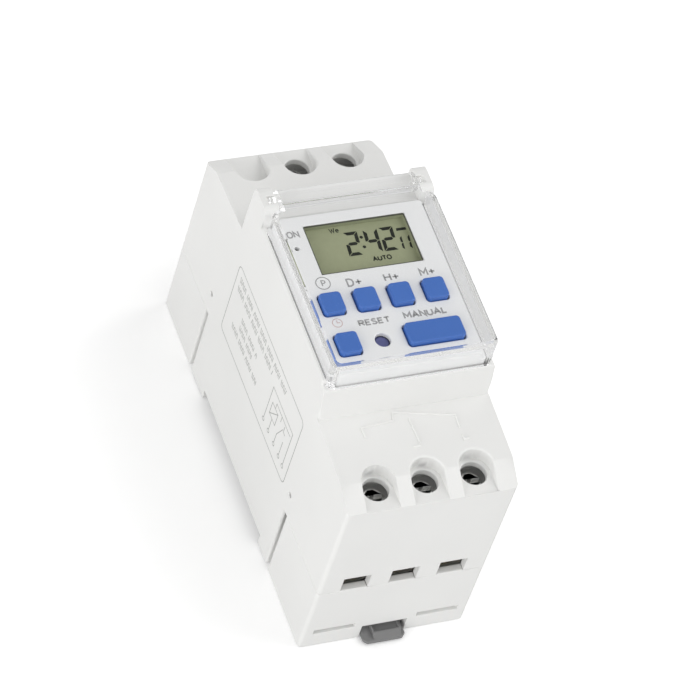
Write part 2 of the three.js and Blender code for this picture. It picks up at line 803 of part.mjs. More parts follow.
// Clear cover: a lid with near and side walls, and a barrel between the ears.
function clearCover() {
  const near = -noseHalf + noseTaper;
  const far = earFront - fit;
  const under = coverTop - coverWall - seat;
  const half = halfWidth - coverInset;
  const corner = 1.1;
  const barrelHalf = earInner - fit;
  const soft = 0.9;
  const lid = softBlock(both(half), [near, far], [lipHeight - soft - overrun, coverTop], corner, soft);
  const inside = box(both(half - coverWall), [near + coverWall, far + overrun], [0, under]);
  const sideLow = box(both(caseWidth), [roomNear, far + overrun], [0, rimHeight + seat]);
  const nearLow = box(both(caseWidth), [near - overrun, far + overrun], [0, lipHeight + seat]);
  const shell = lid.subtract(inside).subtract(sideLow).subtract(nearLow);
  const tongue = box(both(barrelHalf), [far - wall, hingeY], [under, coverTop]);
  const barrel = rodX(both(barrelHalf), hingeY, hingeZ, barrelRadius);
  const pins = rodX(both(earInner + earWidth / 2 - fit), hingeY, hingeZ, hingePin, smallSteps);
  return shell.add(tongue).add(barrel).add(pins);
}

// Power parts, each standing on the power board: the relay at its left edge, the others at the right edge.
const partLow = boardTop + seat;
const boardMargin = 0.3;
const partGap = 1;
const fromRight = (width) => boardSide - boardMargin - width / 2;

// Relay: the base, the case over it, and inside the coil, yoke, armature and contacts.
const relayWidth = 12.8;
const relayX = boardMargin - boardSide + relayWidth / 2;
const relayLength = 29;
const relayHeight = 15.7;
const relayFloor = 1.5;
const relaySkin = 0.8;
const relayLow = partLow + relayFloor + seat;
const coilHeight = 6.6;
const coilZ = partLow + coilHeight;
const coilRadius = 4.3;
const coreRadius = 1.8;
const coilNear = 11.5;
const coilFar = 2.9;
const coilEnds = [-coilNear, coilFar];
const magnetHalf = 3.5;
const pivotY = 5.2;
const pivotHeight = 12.2;
const pivotZ = partLow + pivotHeight;
const strip = 1.2;
const yokeGap = 0.4;

function relayBase() {
  return box(around(relayX, relayWidth), both(relayLength / 2), [partLow, partLow + relayFloor]);
}

function relayCase() {
  const top = partLow + relayHeight;
  const inner = box(
    around(relayX, relayWidth - 2 * relaySkin),
    both(relayLength / 2 - relaySkin),
    [0, top - relaySkin],
  );
  return box(around(relayX, relayWidth), both(relayLength / 2), [relayLow, top]).subtract(inner);
}

function relayCoil() {
  const flange = 0.8;
  const [near, far] = coilEnds;
  const winding = rodY(relayX, [near, far], coilZ, coilRadius - flange);
  const nearFlange = rodY(relayX, [near, near + flange], coilZ, coilRadius);
  const farFlange = rodY(relayX, [far - flange, far], coilZ, coilRadius);
  const bore = rodY(relayX, [near - overrun, far + overrun], coilZ, coreRadius + fit, smallSteps);
  return winding.add(nearFlange).add(farFlange).subtract(bore);
}

function relayYoke() {
  const legY = coilEnds[0] - fit - strip;
  const barEnd = pivotY - strip / 2 - yokeGap;
  const width = around(relayX, 2 * magnetHalf);
  const bar = box(width, [legY, barEnd], [coilZ + coilRadius + fit, coilZ + coilRadius + fit + strip]);
  const leg = box(width, [legY, legY + strip], [relayLow + seat, coilZ + coilRadius + fit + strip]);
  const core = rodY(relayX, [legY + strip / 2, coilEnds[1] + 2 * fit], coilZ, coreRadius, smallSteps);
  return bar.add(leg).add(core);
}

const armatureLow = coilZ - coreRadius - seat;
function relayArmature() {
  const above = 0.4;
  return box(around(relayX, 2 * magnetHalf), around(pivotY, strip), [armatureLow, pivotZ + above]);
}

const rivetRadius = 0.9;
const rivetZ = armatureLow - rivetRadius - fit;
const bladeThickness = 0.4;
const bladeY = pivotY + strip / 2 + seat;
const rivetEnds = [pivotY - seat, bladeY + bladeThickness + rivetRadius];
function contactBlade() {
  const bladeWidth = 2.4;
  const bladeTop = pivotZ - strip;
  const bladeZ = [rivetZ - rivetRadius, bladeTop];
  const blade = box(around(relayX, bladeWidth), [bladeY, bladeY + bladeThickness], bladeZ);
  return blade.add(rodY(relayX, rivetEnds, rivetZ, rivetRadius, smallSteps));
}

// Fixed contact standing on the relay's base, on the near or far side of the rivet.
const contactWidth = 4;
const contactThickness = 0.7;
const pullIn = 1.1;
function fixedContact([y0, y1]) {
  return box(around(relayX, contactWidth), [y0, y1], [relayLow, rivetZ + rivetRadius]);
}
const makeContact = () => fixedContact([rivetEnds[0] - pullIn - contactThickness, rivetEnds[0] - pullIn]);
const breakContact = () => fixedContact([rivetEnds[1] + fit, rivetEnds[1] + fit + contactThickness]);

const filmWidth = 8.5;
const filmLength = 16;
const filmHeight = 15;
function dropperCapacitor() {
  const corner = 0.6;
  const z = [partLow, partLow + filmHeight];
  return softBlock(around(fromRight(filmWidth), filmWidth), both(filmLength / 2), z, corner, corner / 2);
}

const canRadius = 4.2;
const canX = fromRight(2 * canRadius);
function storageCapacitor() {
  const canY = -filmLength / 2 - partGap - canRadius;
  const canHeight = 16;
  const neck = 0.4;
  const neckZ = [partLow + 2 * neck, partLow + 4 * neck];
  const can = post(canX, canY, canRadius, [partLow, partLow + canHeight]);
  const ring = post(canX, canY, canRadius + overrun, neckZ).subtract(
    post(canX, canY, canRadius - neck, [partLow, partLow + canHeight]),
  );
  return can.subtract(ring);
}

const wireRadius = 0.4;
const discRadius = 4.2;
function varistor() {
  const discThickness = 3.6;
  const discY = filmLength / 2 + partGap + discThickness / 2;
  const spread = 3.5;
  const discX = fromRight(2 * discRadius);
  const z = partLow + discRadius + wireRadius;
  const disc = rodY(discX, around(discY, discThickness), z, discRadius);
  const leads = [-spread, spread].map((dx) => post(discX + dx, discY, wireRadius, [partLow, z], smallSteps));
  return disc.add(joined(leads));
}

function fuseResistor() {
  const fuseLength = 9;
  const fuseRadius = 1.8;
  const reach = fuseLength / 2 + 3 * wireRadius;
  const fuseX = fromRight(2 * reach);
  const fuseY = relayLength / 2 + partGap + fuseRadius;
  const z = partLow + fuseRadius + wireRadius;
  const body = rodX(around(fuseX, fuseLength), fuseY, z, fuseRadius, smallSteps);
  const wire = box(around(fuseX, 2 * reach), around(fuseY, 2 * wireRadius), around(z, 2 * wireRadius));
  const legs = [-1, 1].map((way) => {
    const legX = fuseX + way * (reach - wireRadius);
    return box(around(legX, 2 * wireRadius), around(fuseY, 2 * wireRadius), [partLow, z]);
  });
  return body.add(wire).add(joined(legs));
}

function bridgeRectifier() {
  const bridgeWidth = 8;
  const bridgeLength = 6.2;
  const bridgeHeight = 2.6;
  const x = [boardMargin - boardSide, boardMargin - boardSide + bridgeWidth];
  const near = relayLength / 2 + partGap;
  return box(x, [near, near + bridgeLength], [partLow, partLow + bridgeHeight]);
}

function driverTransistor() {
  const radius = 2.3;
  const legHeight = 2;
  const bodyHeight = 4.8;
  const leg = 0.5;
  const legPitch = 1.27;
  const bodyX = canX - canRadius - partGap - radius;
  const bodyY = -relayLength / 2 - partGap - radius;
  const low = partLow + legHeight;
  const flatY = [bodyY + radius / 2, bodyY + 2 * radius];
  const flat = box(around(bodyX, 3 * radius), flatY, [0, low + 2 * bodyHeight]);
  const body = post(bodyX, bodyY, radius, [low, low + bodyHeight], smallSteps).subtract(flat);
  const legs = [-legPitch, 0, legPitch].map((dx) =>
    box(around(bodyX + dx, leg), around(bodyY, leg), [partLow, low + seat]),
  );
  return body.add(joined(legs));
}

piece("back_housing", backHousing(), caseWhite);
piece("front_housing", frontHousing(), caseWhite);
piece("front_panel", frontPanel(), panelWhite);
piece("clear_cover", clearCover(), clear);
piece("rail_clip", railClip(), clipGrey);
piece("display_glass", displayGlass(), displayOlive);
piece("display_frame", displayFrame(), panelWhite);
piece("contact_strip", contactStrip(), silicone);
piece("display_board", displayBoard(), boardGreen);
piece("timer_chip", timerChip(), black);
piece("clock_crystal", clockCrystal(), steel);
piece("backup_battery", backupBattery(), steel);
piece("indicator_led", indicatorLed(), plastic(0xc03028, 0.3));
piece("keypad_mat", keypadMat(), silicone);
for (const key of keys) {
  piece(key.name, keyCap(key), keyBlue);
}
piece("reset_button", resetButton(), keyBlue);
piece("ribbon_link", ribbonLink(), silicone);
piece("power_board", powerBoard(), boardGreen);
piece("relay_base", relayBase(), black);
piece("relay_case", relayCase(), plastic(0x2b4f9e, 0.4));
piece("relay_coil", relayCoil(), copper);
piece("relay_yoke", relayYoke(), steel);
piece("relay_armature", relayArmature(), steel);
piece("relay_contact_blade", contactBlade(), copper);
piece("relay_make_contact", makeContact(), brass);
piece("relay_break_contact", breakContact(), brass);
piece("dropper_capacitor", dropperCapacitor(), plastic(0xb8a03a, 0.5));
piece("storage_capacitor", storageCapacitor(), black);
piece("varistor", varistor(), plastic(0x2c6aa8, 0.5));
piece("fuse_resistor", fuseResistor(), plastic(0x6d8f6a, 0.6));
piece("bridge_rectifier", bridgeRectifier(), black);
piece("driver_transistor", driverTransistor(), black);
for (const terminal of terminals) {
  piece(terminal.name + "_screw", terminalScrew(terminal), steel);
  piece(terminal.name + "_cage", clampCage(terminal), steel);
  piece(terminal.name + "_bus_bar", busBar(terminal), brass);
}

// The clip reaches past the near end, so the case moves back by half of that reach.
model.position.y = clipReach / 2;

export default model;
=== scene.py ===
"""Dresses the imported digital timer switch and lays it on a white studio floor.

The switch lies on its back: x runs across the case, y to the supply end, z out of the display.
Settings are in metres, as Blender keeps them. Shapes drawn by points are in millimetres, in the
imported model's frame.
"""

import json
import math
from itertools import combinations

import bmesh
import bpy
from bpy.props import FloatProperty, FloatVectorProperty, PointerProperty
from bpy.types import Operator, Panel, PropertyGroup
from mathutils import Matrix, Vector
from mathutils.bvhtree import BVHTree
from mathutils.geometry import intersect_point_line


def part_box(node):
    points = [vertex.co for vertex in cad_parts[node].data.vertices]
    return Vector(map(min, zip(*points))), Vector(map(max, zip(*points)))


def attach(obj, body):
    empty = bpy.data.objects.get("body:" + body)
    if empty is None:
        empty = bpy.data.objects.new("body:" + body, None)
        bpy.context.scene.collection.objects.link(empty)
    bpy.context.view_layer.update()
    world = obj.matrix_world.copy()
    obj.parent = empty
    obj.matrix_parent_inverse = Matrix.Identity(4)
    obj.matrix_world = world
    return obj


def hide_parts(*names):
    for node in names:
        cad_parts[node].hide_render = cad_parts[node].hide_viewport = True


bl_info = {
    "name": "Timer Switch Dressing",
    "version": (1, 0, 0),
    "blender": (4, 5, 0),
    "location": "3D View > Sidebar > Timer Switch",
    "description": "Dresses a packed rail-mounted timer switch and sets up its studio",
    "category": "Object",
}

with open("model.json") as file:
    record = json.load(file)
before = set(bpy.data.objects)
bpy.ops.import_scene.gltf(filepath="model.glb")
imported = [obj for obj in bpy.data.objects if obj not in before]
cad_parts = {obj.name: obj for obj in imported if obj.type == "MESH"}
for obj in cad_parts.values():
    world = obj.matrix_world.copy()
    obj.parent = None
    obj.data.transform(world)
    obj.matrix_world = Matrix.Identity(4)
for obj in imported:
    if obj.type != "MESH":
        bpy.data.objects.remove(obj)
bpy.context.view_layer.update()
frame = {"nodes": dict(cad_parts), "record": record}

MM = 0.001

BODIES = frame["record"]["behaviour"]["bodies"]
BODY_OF = {node: body for body, nodes in BODIES.items() for node in nodes}
SLOT_OF = {part["node"]: part["material_slot"] for part in frame["record"]["subparts"]}


def in_mm(length):
    """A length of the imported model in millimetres, to the micron."""
    return round(length / MM, 3)


# Surfaces that carry print or raised lines, in millimetres
PANEL_TOP = in_mm(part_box("front_panel")[1].z)
GLASS_TOP = in_mm(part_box("display_glass")[1].z)
COVER_TOP = in_mm(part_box("clear_cover")[1].z)
CASE_LOW, CASE_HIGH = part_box("front_housing")
LEFT_WALL = in_mm(CASE_LOW.x)
# Middle of the case along y, from which the lengths below are counted
SHIFT_Y = in_mm((CASE_LOW.y + CASE_HIGH.y) / 2)
# Print under the lid is placed as it looks through the lid, which shifts the view by this much
UNDER_LID = (-0.26, SHIFT_Y - 0.37)

TERMINALS = ("load_common", "load_closing", "load_opening", "supply_line", "supply_neutral")
KEYS = ("program_key", "day_key", "hour_key", "minute_key", "clock_key", "manual_key")


# Settings


def colour_setting(name, description, default):
    return FloatVectorProperty(
        name=name, description=description, default=default, subtype="COLOR", size=3, min=0, max=1
    )


def length_setting(name, description, default):
    return FloatProperty(
        name=name, description=description, default=default, min=0, unit="LENGTH", precision=5
    )


def angle_setting(name, description, default):
    return FloatProperty(
        name=name, description=description, default=default, subtype="ANGLE", unit="ROTATION"
    )


def share_setting(name, description, default):
    return FloatProperty(
        name=name, description=description, default=default, min=0, max=1, subtype="FACTOR"
    )


def light_setting(name, description, default, unit="NONE"):
    return FloatProperty(name=name, description=description, default=default, min=0, unit=unit)


class CaseSettings(PropertyGroup):
    colour: colour_setting("Housing colour", "Warm white of the two housings", (0.83, 0.83, 0.815))
    # The panel is painted paler than the housings partly to make up for light that the clear cover takes:
    # painted light on top of its cooler white
    panel_colour: colour_setting("Panel colour", "Cooler white of the front panel", (0.90, 0.905, 0.905))
    edge_round: length_setting("Edge rounding", "Rounding of the housings' outer edges", 0.00042)
    grain_depth: length_setting("Grain depth", "Depth of the fine grain that the mould leaves", 0.000012)
    roughness: share_setting("Roughness", "How matt the housings are", 0.42)


class PrintSettings(PropertyGroup):
    legend_colour: colour_setting("Legend colour", "Grey of the words beside the keys", (0.36, 0.36, 0.36))
    diagram_colour: colour_setting("Side print colour", "Grey of the side print", (0.36, 0.36, 0.35))
    dial_colour: colour_setting("Clock mark colour", "Faint red of the clock mark", (0.62, 0.47, 0.45))
    ink_thickness: length_setting("Ink thickness", "How far the print stands on the plastic", 0.00002)
    raised_height: length_setting("Raised lines", "Height of the moulded contact diagram", 0.00024)


class KeySettings(PropertyGroup):
    colour: colour_setting("Key colour", "Blue of the keys", (0.055, 0.165, 0.54))
    reset_colour: colour_setting("Reset colour", "Darker blue of the reset button", (0.10, 0.11, 0.28))
    edge_round: length_setting("Key rounding", "Rounding of the keys' top edges", 0.00012)


class DisplaySettings(PropertyGroup):
    glass_colour: colour_setting("Display colour", "Olive grey of the idle display", (0.37, 0.395, 0.25))
    segment_colour: colour_setting("Segment colour", "Near black of the segments", (0.012, 0.014, 0.010))
    # Colour of the painted shadow along the window's edge
    window_shade_colour: colour_setting("Window shade colour", "Painted shade along the window's edge", (0.10, 0.105, 0.08))
    slant: angle_setting("Slant", "Lean of the digits to the right", math.radians(5))


class CoverSettings(PropertyGroup):
    tint: colour_setting("Cover tint", "Faint cool tint of the clear plastic", (0.995, 0.997, 1.0))
    index: FloatProperty(name="Refraction", description="Index of the plastic", default=1.5, min=1, max=2)
    gloss: share_setting("Cover gloss", "How strongly the cover mirrors the light tent", 0.25)
    edge_round: length_setting("Cover rounding", "Rounding of the cover's outer edges", 0.00012)
    inner_round: length_setting("Inner rounding", "Rounding of the corners inside the cover", 0.00008)
    roughness: share_setting("Cover roughness", "Haze of the clear plastic", 0.006)


class FittingSettings(PropertyGroup):
    clip_colour: colour_setting("Clip colour", "Dark grey of the rail clip", (0.20, 0.20, 0.20))
    steel_colour: colour_setting("Steel colour", "Zinc plating on screws and cages", (0.72, 0.72, 0.70))
    brass_colour: colour_setting("Brass colour", "Bus bars and contacts", (0.70, 0.50, 0.22))
    board_colour: colour_setting("Board colour", "Lacquer on the boards", (0.03, 0.16, 0.06))


class StudioSettings(PropertyGroup):
    lens: FloatProperty(
        name="Lens", description="Focal length for a 36 mm sensor", default=215.647, min=10, unit="CAMERA"
    )
    camera_place: FloatVectorProperty(
        name="Camera place",
        description="Where the camera stands",
        default=(-0.297195, -0.423914, 0.675814),
        subtype="TRANSLATION",
        unit="LENGTH",
    )
    camera_turn: FloatVectorProperty(
        name="Camera turn",
        description="Rotation of the camera",
        default=(math.radians(37.35392), math.radians(-12.33856), math.radians(-19.33922)),
        subtype="EULER",
        unit="ROTATION",
    )
    tent_strength: light_setting("Tent light", "Even light from all round", 0.74)
    flag_strength: light_setting("Flag light", "Light left in the dark part of the tent", 0.08)
    flag_core: angle_setting("Flag core", "Half angle of the tent's dark part", math.radians(11))
    flag_edge: angle_setting("Flag edge", "Half angle where the dark part has faded out", math.radians(24))
    key_power: light_setting("Key lamp", "Power of the large lamp at the upper right", 5.0, "POWER")
    fill_power: light_setting("Fill lamp", "Power of the lamp at the near left", 5.4, "POWER")
    floor_colour: colour_setting("Floor colour", "Paper under the switch", (0.8, 0.8, 0.8))


class TimerSwitchSettings(PropertyGroup):
    case: PointerProperty(type=CaseSettings)
    marks: PointerProperty(type=PrintSettings)
    keys: PointerProperty(type=KeySettings)
    display: PointerProperty(type=DisplaySettings)
    cover: PointerProperty(type=CoverSettings)
    fittings: PointerProperty(type=FittingSettings)
    studio: PointerProperty(type=StudioSettings)


# Material building

PLASTIC_INDEX = 1.5
WHITE = (1, 1, 1, 1)


def feed(tree, socket, value):
    """Links a socket to another one, or sets it to a plain value."""
    if isinstance(value, bpy.types.NodeSocket):
        tree.links.new(value, socket)
    else:
        socket.default_value = value


def set_inputs(tree, node, **values):
    """Feeds a node's inputs by name, with underscores for spaces."""
    for key, value in values.items():
        feed(tree, node.inputs[key.replace("_", " ")], value)


def add_node(tree, kind, **values):
    """A new node with its inputs fed by name."""
    node = tree.nodes.new(kind)
    set_inputs(tree, node, **values)
    return node


def maths(tree, operation, first, second):
    """The result of one sum on two sockets or numbers."""
    node = tree.nodes.new("ShaderNodeMath")
    node.operation = operation
    feed(tree, node.inputs[0], first)
    feed(tree, node.inputs[1], second)
    return node.outputs[0]


def map_range(tree, value, span, onto, kind="LINEAR"):
    """Maps a value from one span on another."""
    node = add_node(tree, "ShaderNodeMapRange", Value=value)
    node.interpolation_type = kind
    set_inputs(tree, node, From_Min=span[0], From_Max=span[1], To_Min=onto[0], To_Max=onto[1])
    return node.outputs["Result"]


def between(tree, factor, low, high):
    """Maps a factor of 0 to 1 on the span from low to high."""
    return map_range(tree, factor, (0, 1), (low, high))


def multiply(tree, first, second):
    """The product of two colours."""
    node = tree.nodes.new("ShaderNodeMix")
    node.data_type = "RGBA"
    node.blend_type = "MULTIPLY"
    set_inputs(tree, node, Factor=1.0, A=first, B=second)
    return node.outputs["Result"]


def mix_shaders(tree, factor, first, second):
    """The first shader where the factor is 0 and the second where it is 1."""
    node = tree.nodes.new("ShaderNodeMixShader")
    for socket, source in zip(node.inputs, (factor, first.outputs[0], second.outputs[0])):
        tree.links.new(source, socket)
    return node.outputs[0]


def place_of(tree):
    return tree.nodes.new("ShaderNodeTexCoord").outputs["Object"]


def noise(tree, scale, detail=3.0, rough=0.5, stretch=None):
    """Noise of the given scale per metre, drawn out along an axis where stretch says so."""
    vector = place_of(tree)
    if stretch:
        vector = add_node(tree, "ShaderNodeMapping", Vector=vector, Scale=stretch).outputs["Vector"]
    node = add_node(tree, "ShaderNodeTexNoise", Vector=vector, Scale=scale, Detail=detail, Roughness=rough)
    return node.outputs["Fac"]


def shades(tree, factor, *stops):
    """A colour ramp over a factor. Stops are (place, colour) pairs."""
    ramp = add_node(tree, "ShaderNodeValToRGB", Fac=factor)
    for element, (place, colour) in zip(ramp.color_ramp.elements, stops):
        element.position = place
        element.color = (*colour, 1)
    return ramp.outputs["Color"]


def tone(colour, share):
    """The colour lightened or darkened by a share."""
    return tuple(min(1.0, channel * share) for channel in colour)


def bump(tree, height, depth, strength=1.0):
    """The normal over a surface whose height varies by up to a depth."""
    node = add_node(tree, "ShaderNodeBump", Height=height, Distance=depth, Strength=strength)
    return node.outputs["Normal"]


def new_material(name):
    """A material, its node tree and its shader."""
    material = bpy.data.materials.new(name)
    material.use_nodes = True
    return material, material.node_tree, material.node_tree.nodes["Principled BSDF"]


def moulded_plastic(name, colour, roughness, grain_depth, grain_scale=3200.0, spread=0.02):
    """Moulded plastic: fine mould grain, slow shade changes from the flow of the melt, uneven gloss."""
    material, tree, shader = new_material(name)
    flow = noise(tree, scale=38.0, detail=2.0)
    patches = noise(tree, scale=420.0, detail=2.0)
    grain = noise(tree, scale=grain_scale, detail=4.0, rough=0.6)
    dull, bright = tone(colour, 1 - spread), tone(colour, 1 + spread / 2)
    set_inputs(
        tree,
        shader,
        Base_Color=shades(tree, flow, (0.35, dull), (0.65, bright)),
        Roughness=between(tree, patches, low=roughness - 0.05, high=roughness + 0.06),
        Normal=bump(tree, grain, grain_depth),
        IOR=PLASTIC_INDEX,
    )
    return material


# After so many turns inside the clear plastic a ray leaves it straight, so its edges stay clear
TURNS_IN_PLASTIC = 3.5
STRAIGHT_THROUGH = (0.99, 0.99, 0.99, 1)


def light_path(tree):
    return tree.nodes.new("ShaderNodeLightPath").outputs


def trapped_ray(tree):
    """1 for rays that have turned too often."""
    return maths(tree, "GREATER_THAN", light_path(tree)["Ray Depth"], TURNS_IN_PLASTIC)


def clear_plastic(settings):
    """Clear cover plastic: almost no colour, faint waviness and haze from the mould.

    Light from the lamps and from matt surfaces passes straight, so what lies under the cover stays lit.
    """
    material, tree, shader = new_material("clear_cover_plastic")
    haze = noise(tree, scale=90.0, detail=2.0)
    waves = noise(tree, scale=160.0, detail=1.0)
    set_inputs(
        tree,
        shader,
        Base_Color=shades(tree, haze, (0.3, tone(settings.tint, 0.995)), (0.7, settings.tint)),
        Roughness=between(tree, haze, low=settings.roughness * 0.6, high=settings.roughness * 1.4),
        Normal=bump(tree, waves, depth=0.00001, strength=0.1),
        IOR=settings.index,
        Specular_IOR_Level=settings.gloss,
        Transmission_Weight=1.0,
    )
    path = light_path(tree)
    straight = maths(tree, "MAXIMUM", path["Is Shadow Ray"], path["Is Diffuse Ray"])
    straight = maths(tree, "MAXIMUM", straight, trapped_ray(tree))
    through = add_node(tree, "ShaderNodeBsdfTransparent", Color=STRAIGHT_THROUGH)
    surface = mix_shaders(tree, straight, shader, through)
    tree.links.new(surface, tree.nodes["Material Output"].inputs["Surface"])
    return material


def ink(name, colour):
    """Screen print: thin matt ink, a little uneven where the screen lifted."""
    material, tree, shader = new_material(name)
    cover = noise(tree, scale=5200.0, detail=2.0)
    set_inputs(
        tree,
        shader,
        Base_Color=shades(tree, cover, (0.25, tone(colour, 1.25)), (0.6, tone(colour, 0.95))),
        Roughness=between(tree, cover, low=0.5, high=0.7),
    )
    return material


# How strongly the display's face mirrors what is round it
DISPLAY_GLOSS = 0.25


def display_glass(settings):
    """Idle liquid crystal cell: olive grey with a faint film mottle under a glossy face."""
    material, tree, shader = new_material("display_olive")
    colour = settings.glass_colour
    film = noise(tree, scale=900.0, detail=3.0)
    cloud = noise(tree, scale=60.0, detail=1.0)
    fine = shades(tree, film, (0.3, tone(colour, 0.97)), (0.7, tone(colour, 1.02)))
    broad = shades(tree, cloud, (0.3, (0.95, 0.95, 0.95)), (0.7, (1.0, 1.0, 1.0)))
    set_inputs(
        tree,
        shader,
        Base_Color=multiply(tree, fine, broad),
        Roughness=between(tree, film, low=0.18, high=0.26),
        Specular_IOR_Level=DISPLAY_GLOSS,
    )
    return material


def display_segment(settings):
    """Switched segment: near black, with the film's mottle showing a little."""
    material, tree, shader = new_material("display_segment_black")
    colour = settings.segment_colour
    film = noise(tree, scale=1500.0, detail=2.0)
    set_inputs(
        tree,
        shader,
        Base_Color=shades(tree, film, (0.3, colour), (0.8, tone(colour, 1.8))),
        Roughness=between(tree, film, low=0.3, high=0.4),
        Specular_IOR_Level=DISPLAY_GLOSS,
    )
    return material


def plated_metal(name, colour, roughness, lines=(1.0, 1.0, 1.0), metallic=1.0):
    """Plated or bare metal: streaks along the way it was drawn, small stains in the plating."""
    material, tree, shader = new_material(name)
    streaks = noise(tree, scale=700.0, detail=4.0, stretch=lines)
    stains = noise(tree, scale=260.0, detail=2.0)
    set_inputs(
        tree,
        shader,
        Base_Color=shades(tree, stains, (0.3, tone(colour, 0.82)), (0.7, tone(colour, 1.08))),
        Roughness=between(tree, streaks, low=roughness - 0.09, high=roughness + 0.12),
        Normal=bump(tree, streaks, depth=0.000006),
        Metallic=metallic,
    )
    return material


def lacquered_board(settings):
    """Circuit board: green lacquer over tracks, which show as paler raised runs."""
    material, tree, shader = new_material("board_lacquer")
    colour = settings.board_colour
    tracks = add_node(
        tree,
        "ShaderNodeTexBrick",
        Vector=place_of(tree),
        Scale=260.0,
        Mortar_Size=0.03,
        Color1=(*colour, 1),
        Color2=(*tone(colour, 1.35), 1),
        Mortar=(*tone(colour, 0.6), 1),
    )
    set_inputs(
        tree,
        shader,
        Base_Color=tracks.outputs["Color"],
        Roughness=between(tree, noise(tree, scale=500.0), low=0.25, high=0.4),
        Normal=bump(tree, tracks.outputs["Fac"], depth=0.00003, strength=0.5),
    )
    return material


def wound_wire(name, colour):
    """Enamelled wire in a winding: fine turns side by side along y, with painted shade darkening the
    grooves between them.
    """
    material, tree, shader = new_material(name)
    turns = add_node(tree, "ShaderNodeTexWave", Vector=place_of(tree), Scale=1400.0, Distortion=0.4)
    turns.bands_direction = "Y"
    height = turns.outputs["Fac"]
    set_inputs(
        tree,
        shader,
        # The grooves between turns are painted 60 % darker: painted shade
        Base_Color=shades(tree, height, (0.1, tone(colour, 0.4)), (0.7, colour)),
        Roughness=between(tree, noise(tree, scale=800.0), low=0.3, high=0.45),
        Normal=bump(tree, height, depth=0.00008),
        Metallic=0.6,
    )
    return material


# Mesh building, in millimetres

# Points closer than MERGED become one, and faces that meet at less than FLAT become one
MERGED = 0.002
FLAT = math.radians(0.6)


def cad_shape(node):
    """The node's solid as a bmesh in millimetres, its triangles merged into flat faces."""
    shape = bmesh.new()
    shape.from_mesh(frame["nodes"][node].data)
    bmesh.ops.scale(shape, vec=(1 / MM, 1 / MM, 1 / MM), verts=shape.verts)
    bmesh.ops.remove_doubles(shape, verts=shape.verts, dist=MERGED)
    bmesh.ops.dissolve_limit(
        shape,
        angle_limit=FLAT,
        use_dissolve_boundaries=False,
        verts=shape.verts,
        edges=shape.edges,
        delimit=set(),
    )
    shape.normal_update()
    return shape


# An edge is rounded where its faces meet at more than SHARP, or at more than SLIGHT where it carries
# on a rounded one. Edges that turn less than STRAIGHT into one another make one run.
SHARP = math.radians(35)
SLIGHT = math.radians(8)
STRAIGHT = math.radians(40)
# An edge is seen from outside where nothing stands over it, from LIFT up to CLEARANCE
LIFT = 0.02
CLEARANCE = 40.0
# A rounding takes up to this share of the room that it has
ROOM_SHARE = 0.45
# Edges that turn further than this are counted as turning this far
WIDEST_TURN = 3.1
# Edges face each other across a face where the cosine of their ways is below this
FACING = -0.5


def turn_at(vert, edge, other):
    """How far the way along an edge turns into another at their vertex."""
    into = vert.co - edge.other_vert(vert).co
    return into.angle(other.other_vert(vert).co - vert.co)


def beside_at(vert, edge):
    """The edges next to an edge at its vertex, round the faces that it borders."""
    around = {other for face in edge.link_faces for other in face.edges}
    return [other for other in vert.link_edges if other is not edge and other in around]


def seen_outside(tree, edge):
    """Whether nothing of the shape stands over an edge."""
    middle = (edge.verts[0].co + edge.verts[1].co) / 2
    outward = (edge.link_faces[0].normal + edge.link_faces[1].normal).normalized()
    return tree.ray_cast(middle + outward * LIFT, outward, CLEARANCE)[0] is None


def carry_on_runs(chosen):
    """Lengthens each run of edges along slighter folds, and takes back one that ends in a flat face."""
    changed = True
    while changed:
        changed = False
        for edge in list(chosen):
            for vert in edge.verts:
                if sum(other in chosen for other in vert.link_edges) > 1:
                    continue
                for other in beside_at(vert, edge):
                    if turn_at(vert, edge, other) > STRAIGHT:
                        continue
                    bend = math.copysign(1, edge.calc_face_angle_signed(0))
                    if len(other.link_faces) == 2 and other.calc_face_angle_signed(0) * bend > SLIGHT:
                        chosen.add(other)
                    else:
                        chosen.discard(edge)
                    changed = True


def open_edges(shape, hollow):
    """Sharp outer edges that are seen from outside, and inner ones where hollow says so, in whole runs."""
    tree = BVHTree.FromBMesh(shape)
    chosen = set()
    for edge in shape.edges:
        fold = edge.calc_face_angle_signed(0)
        if hollow and fold < -SHARP:
            chosen.add(edge)
        elif len(edge.link_faces) == 2 and fold >= SHARP and seen_outside(tree, edge):
            chosen.add(edge)
    carry_on_runs(chosen)
    return chosen


def gap_between(edge, other):
    """Least distance between two edges, from the ends of each."""
    gaps = []
    for first, second in ((edge, other), (other, edge)):
        start, end = (vert.co for vert in second.verts)
        for vert in first.verts:
            foot, share = intersect_point_line(vert.co, start, end)
            foot = start if share < 0 else end if share > 1 else foot
            gaps.append((vert.co - foot).length)
    return min(gaps)


def room_at_end(vert, edge, chosen):
    """The room for an edge's rounding at one of its ends, beside the edges that it meets there."""
    others = [other for other in vert.link_edges if other is not edge and other in chosen]
    if others:
        turns = [turn_at(vert, edge, other) for other in others]
        length = edge.calc_length()
        rooms = [length / math.tan(min(turn, WIDEST_TURN) / 2) for turn in turns if turn > SLIGHT]
    else:
        beside = beside_at(vert, edge)
        rooms = [other.calc_length() * math.sin(turn_at(vert, edge, other)) for other in beside]
    return min(rooms, default=math.inf)


def facing_edges(shape, chosen):
    """Pairs of edges across a face from each other, of which one or both are chosen."""
    for face in shape.faces:
        ways = [(loop.edge, loop.link_loop_next.vert.co - loop.vert.co) for loop in face.loops]
        for (edge, way), (other, other_way) in combinations(ways, 2):
            if edge not in chosen and other not in chosen:
                continue
            if set(edge.verts) & set(other.verts):
                continue
            if way.dot(other_way) <= FACING * way.length * other_way.length:
                yield edge, other


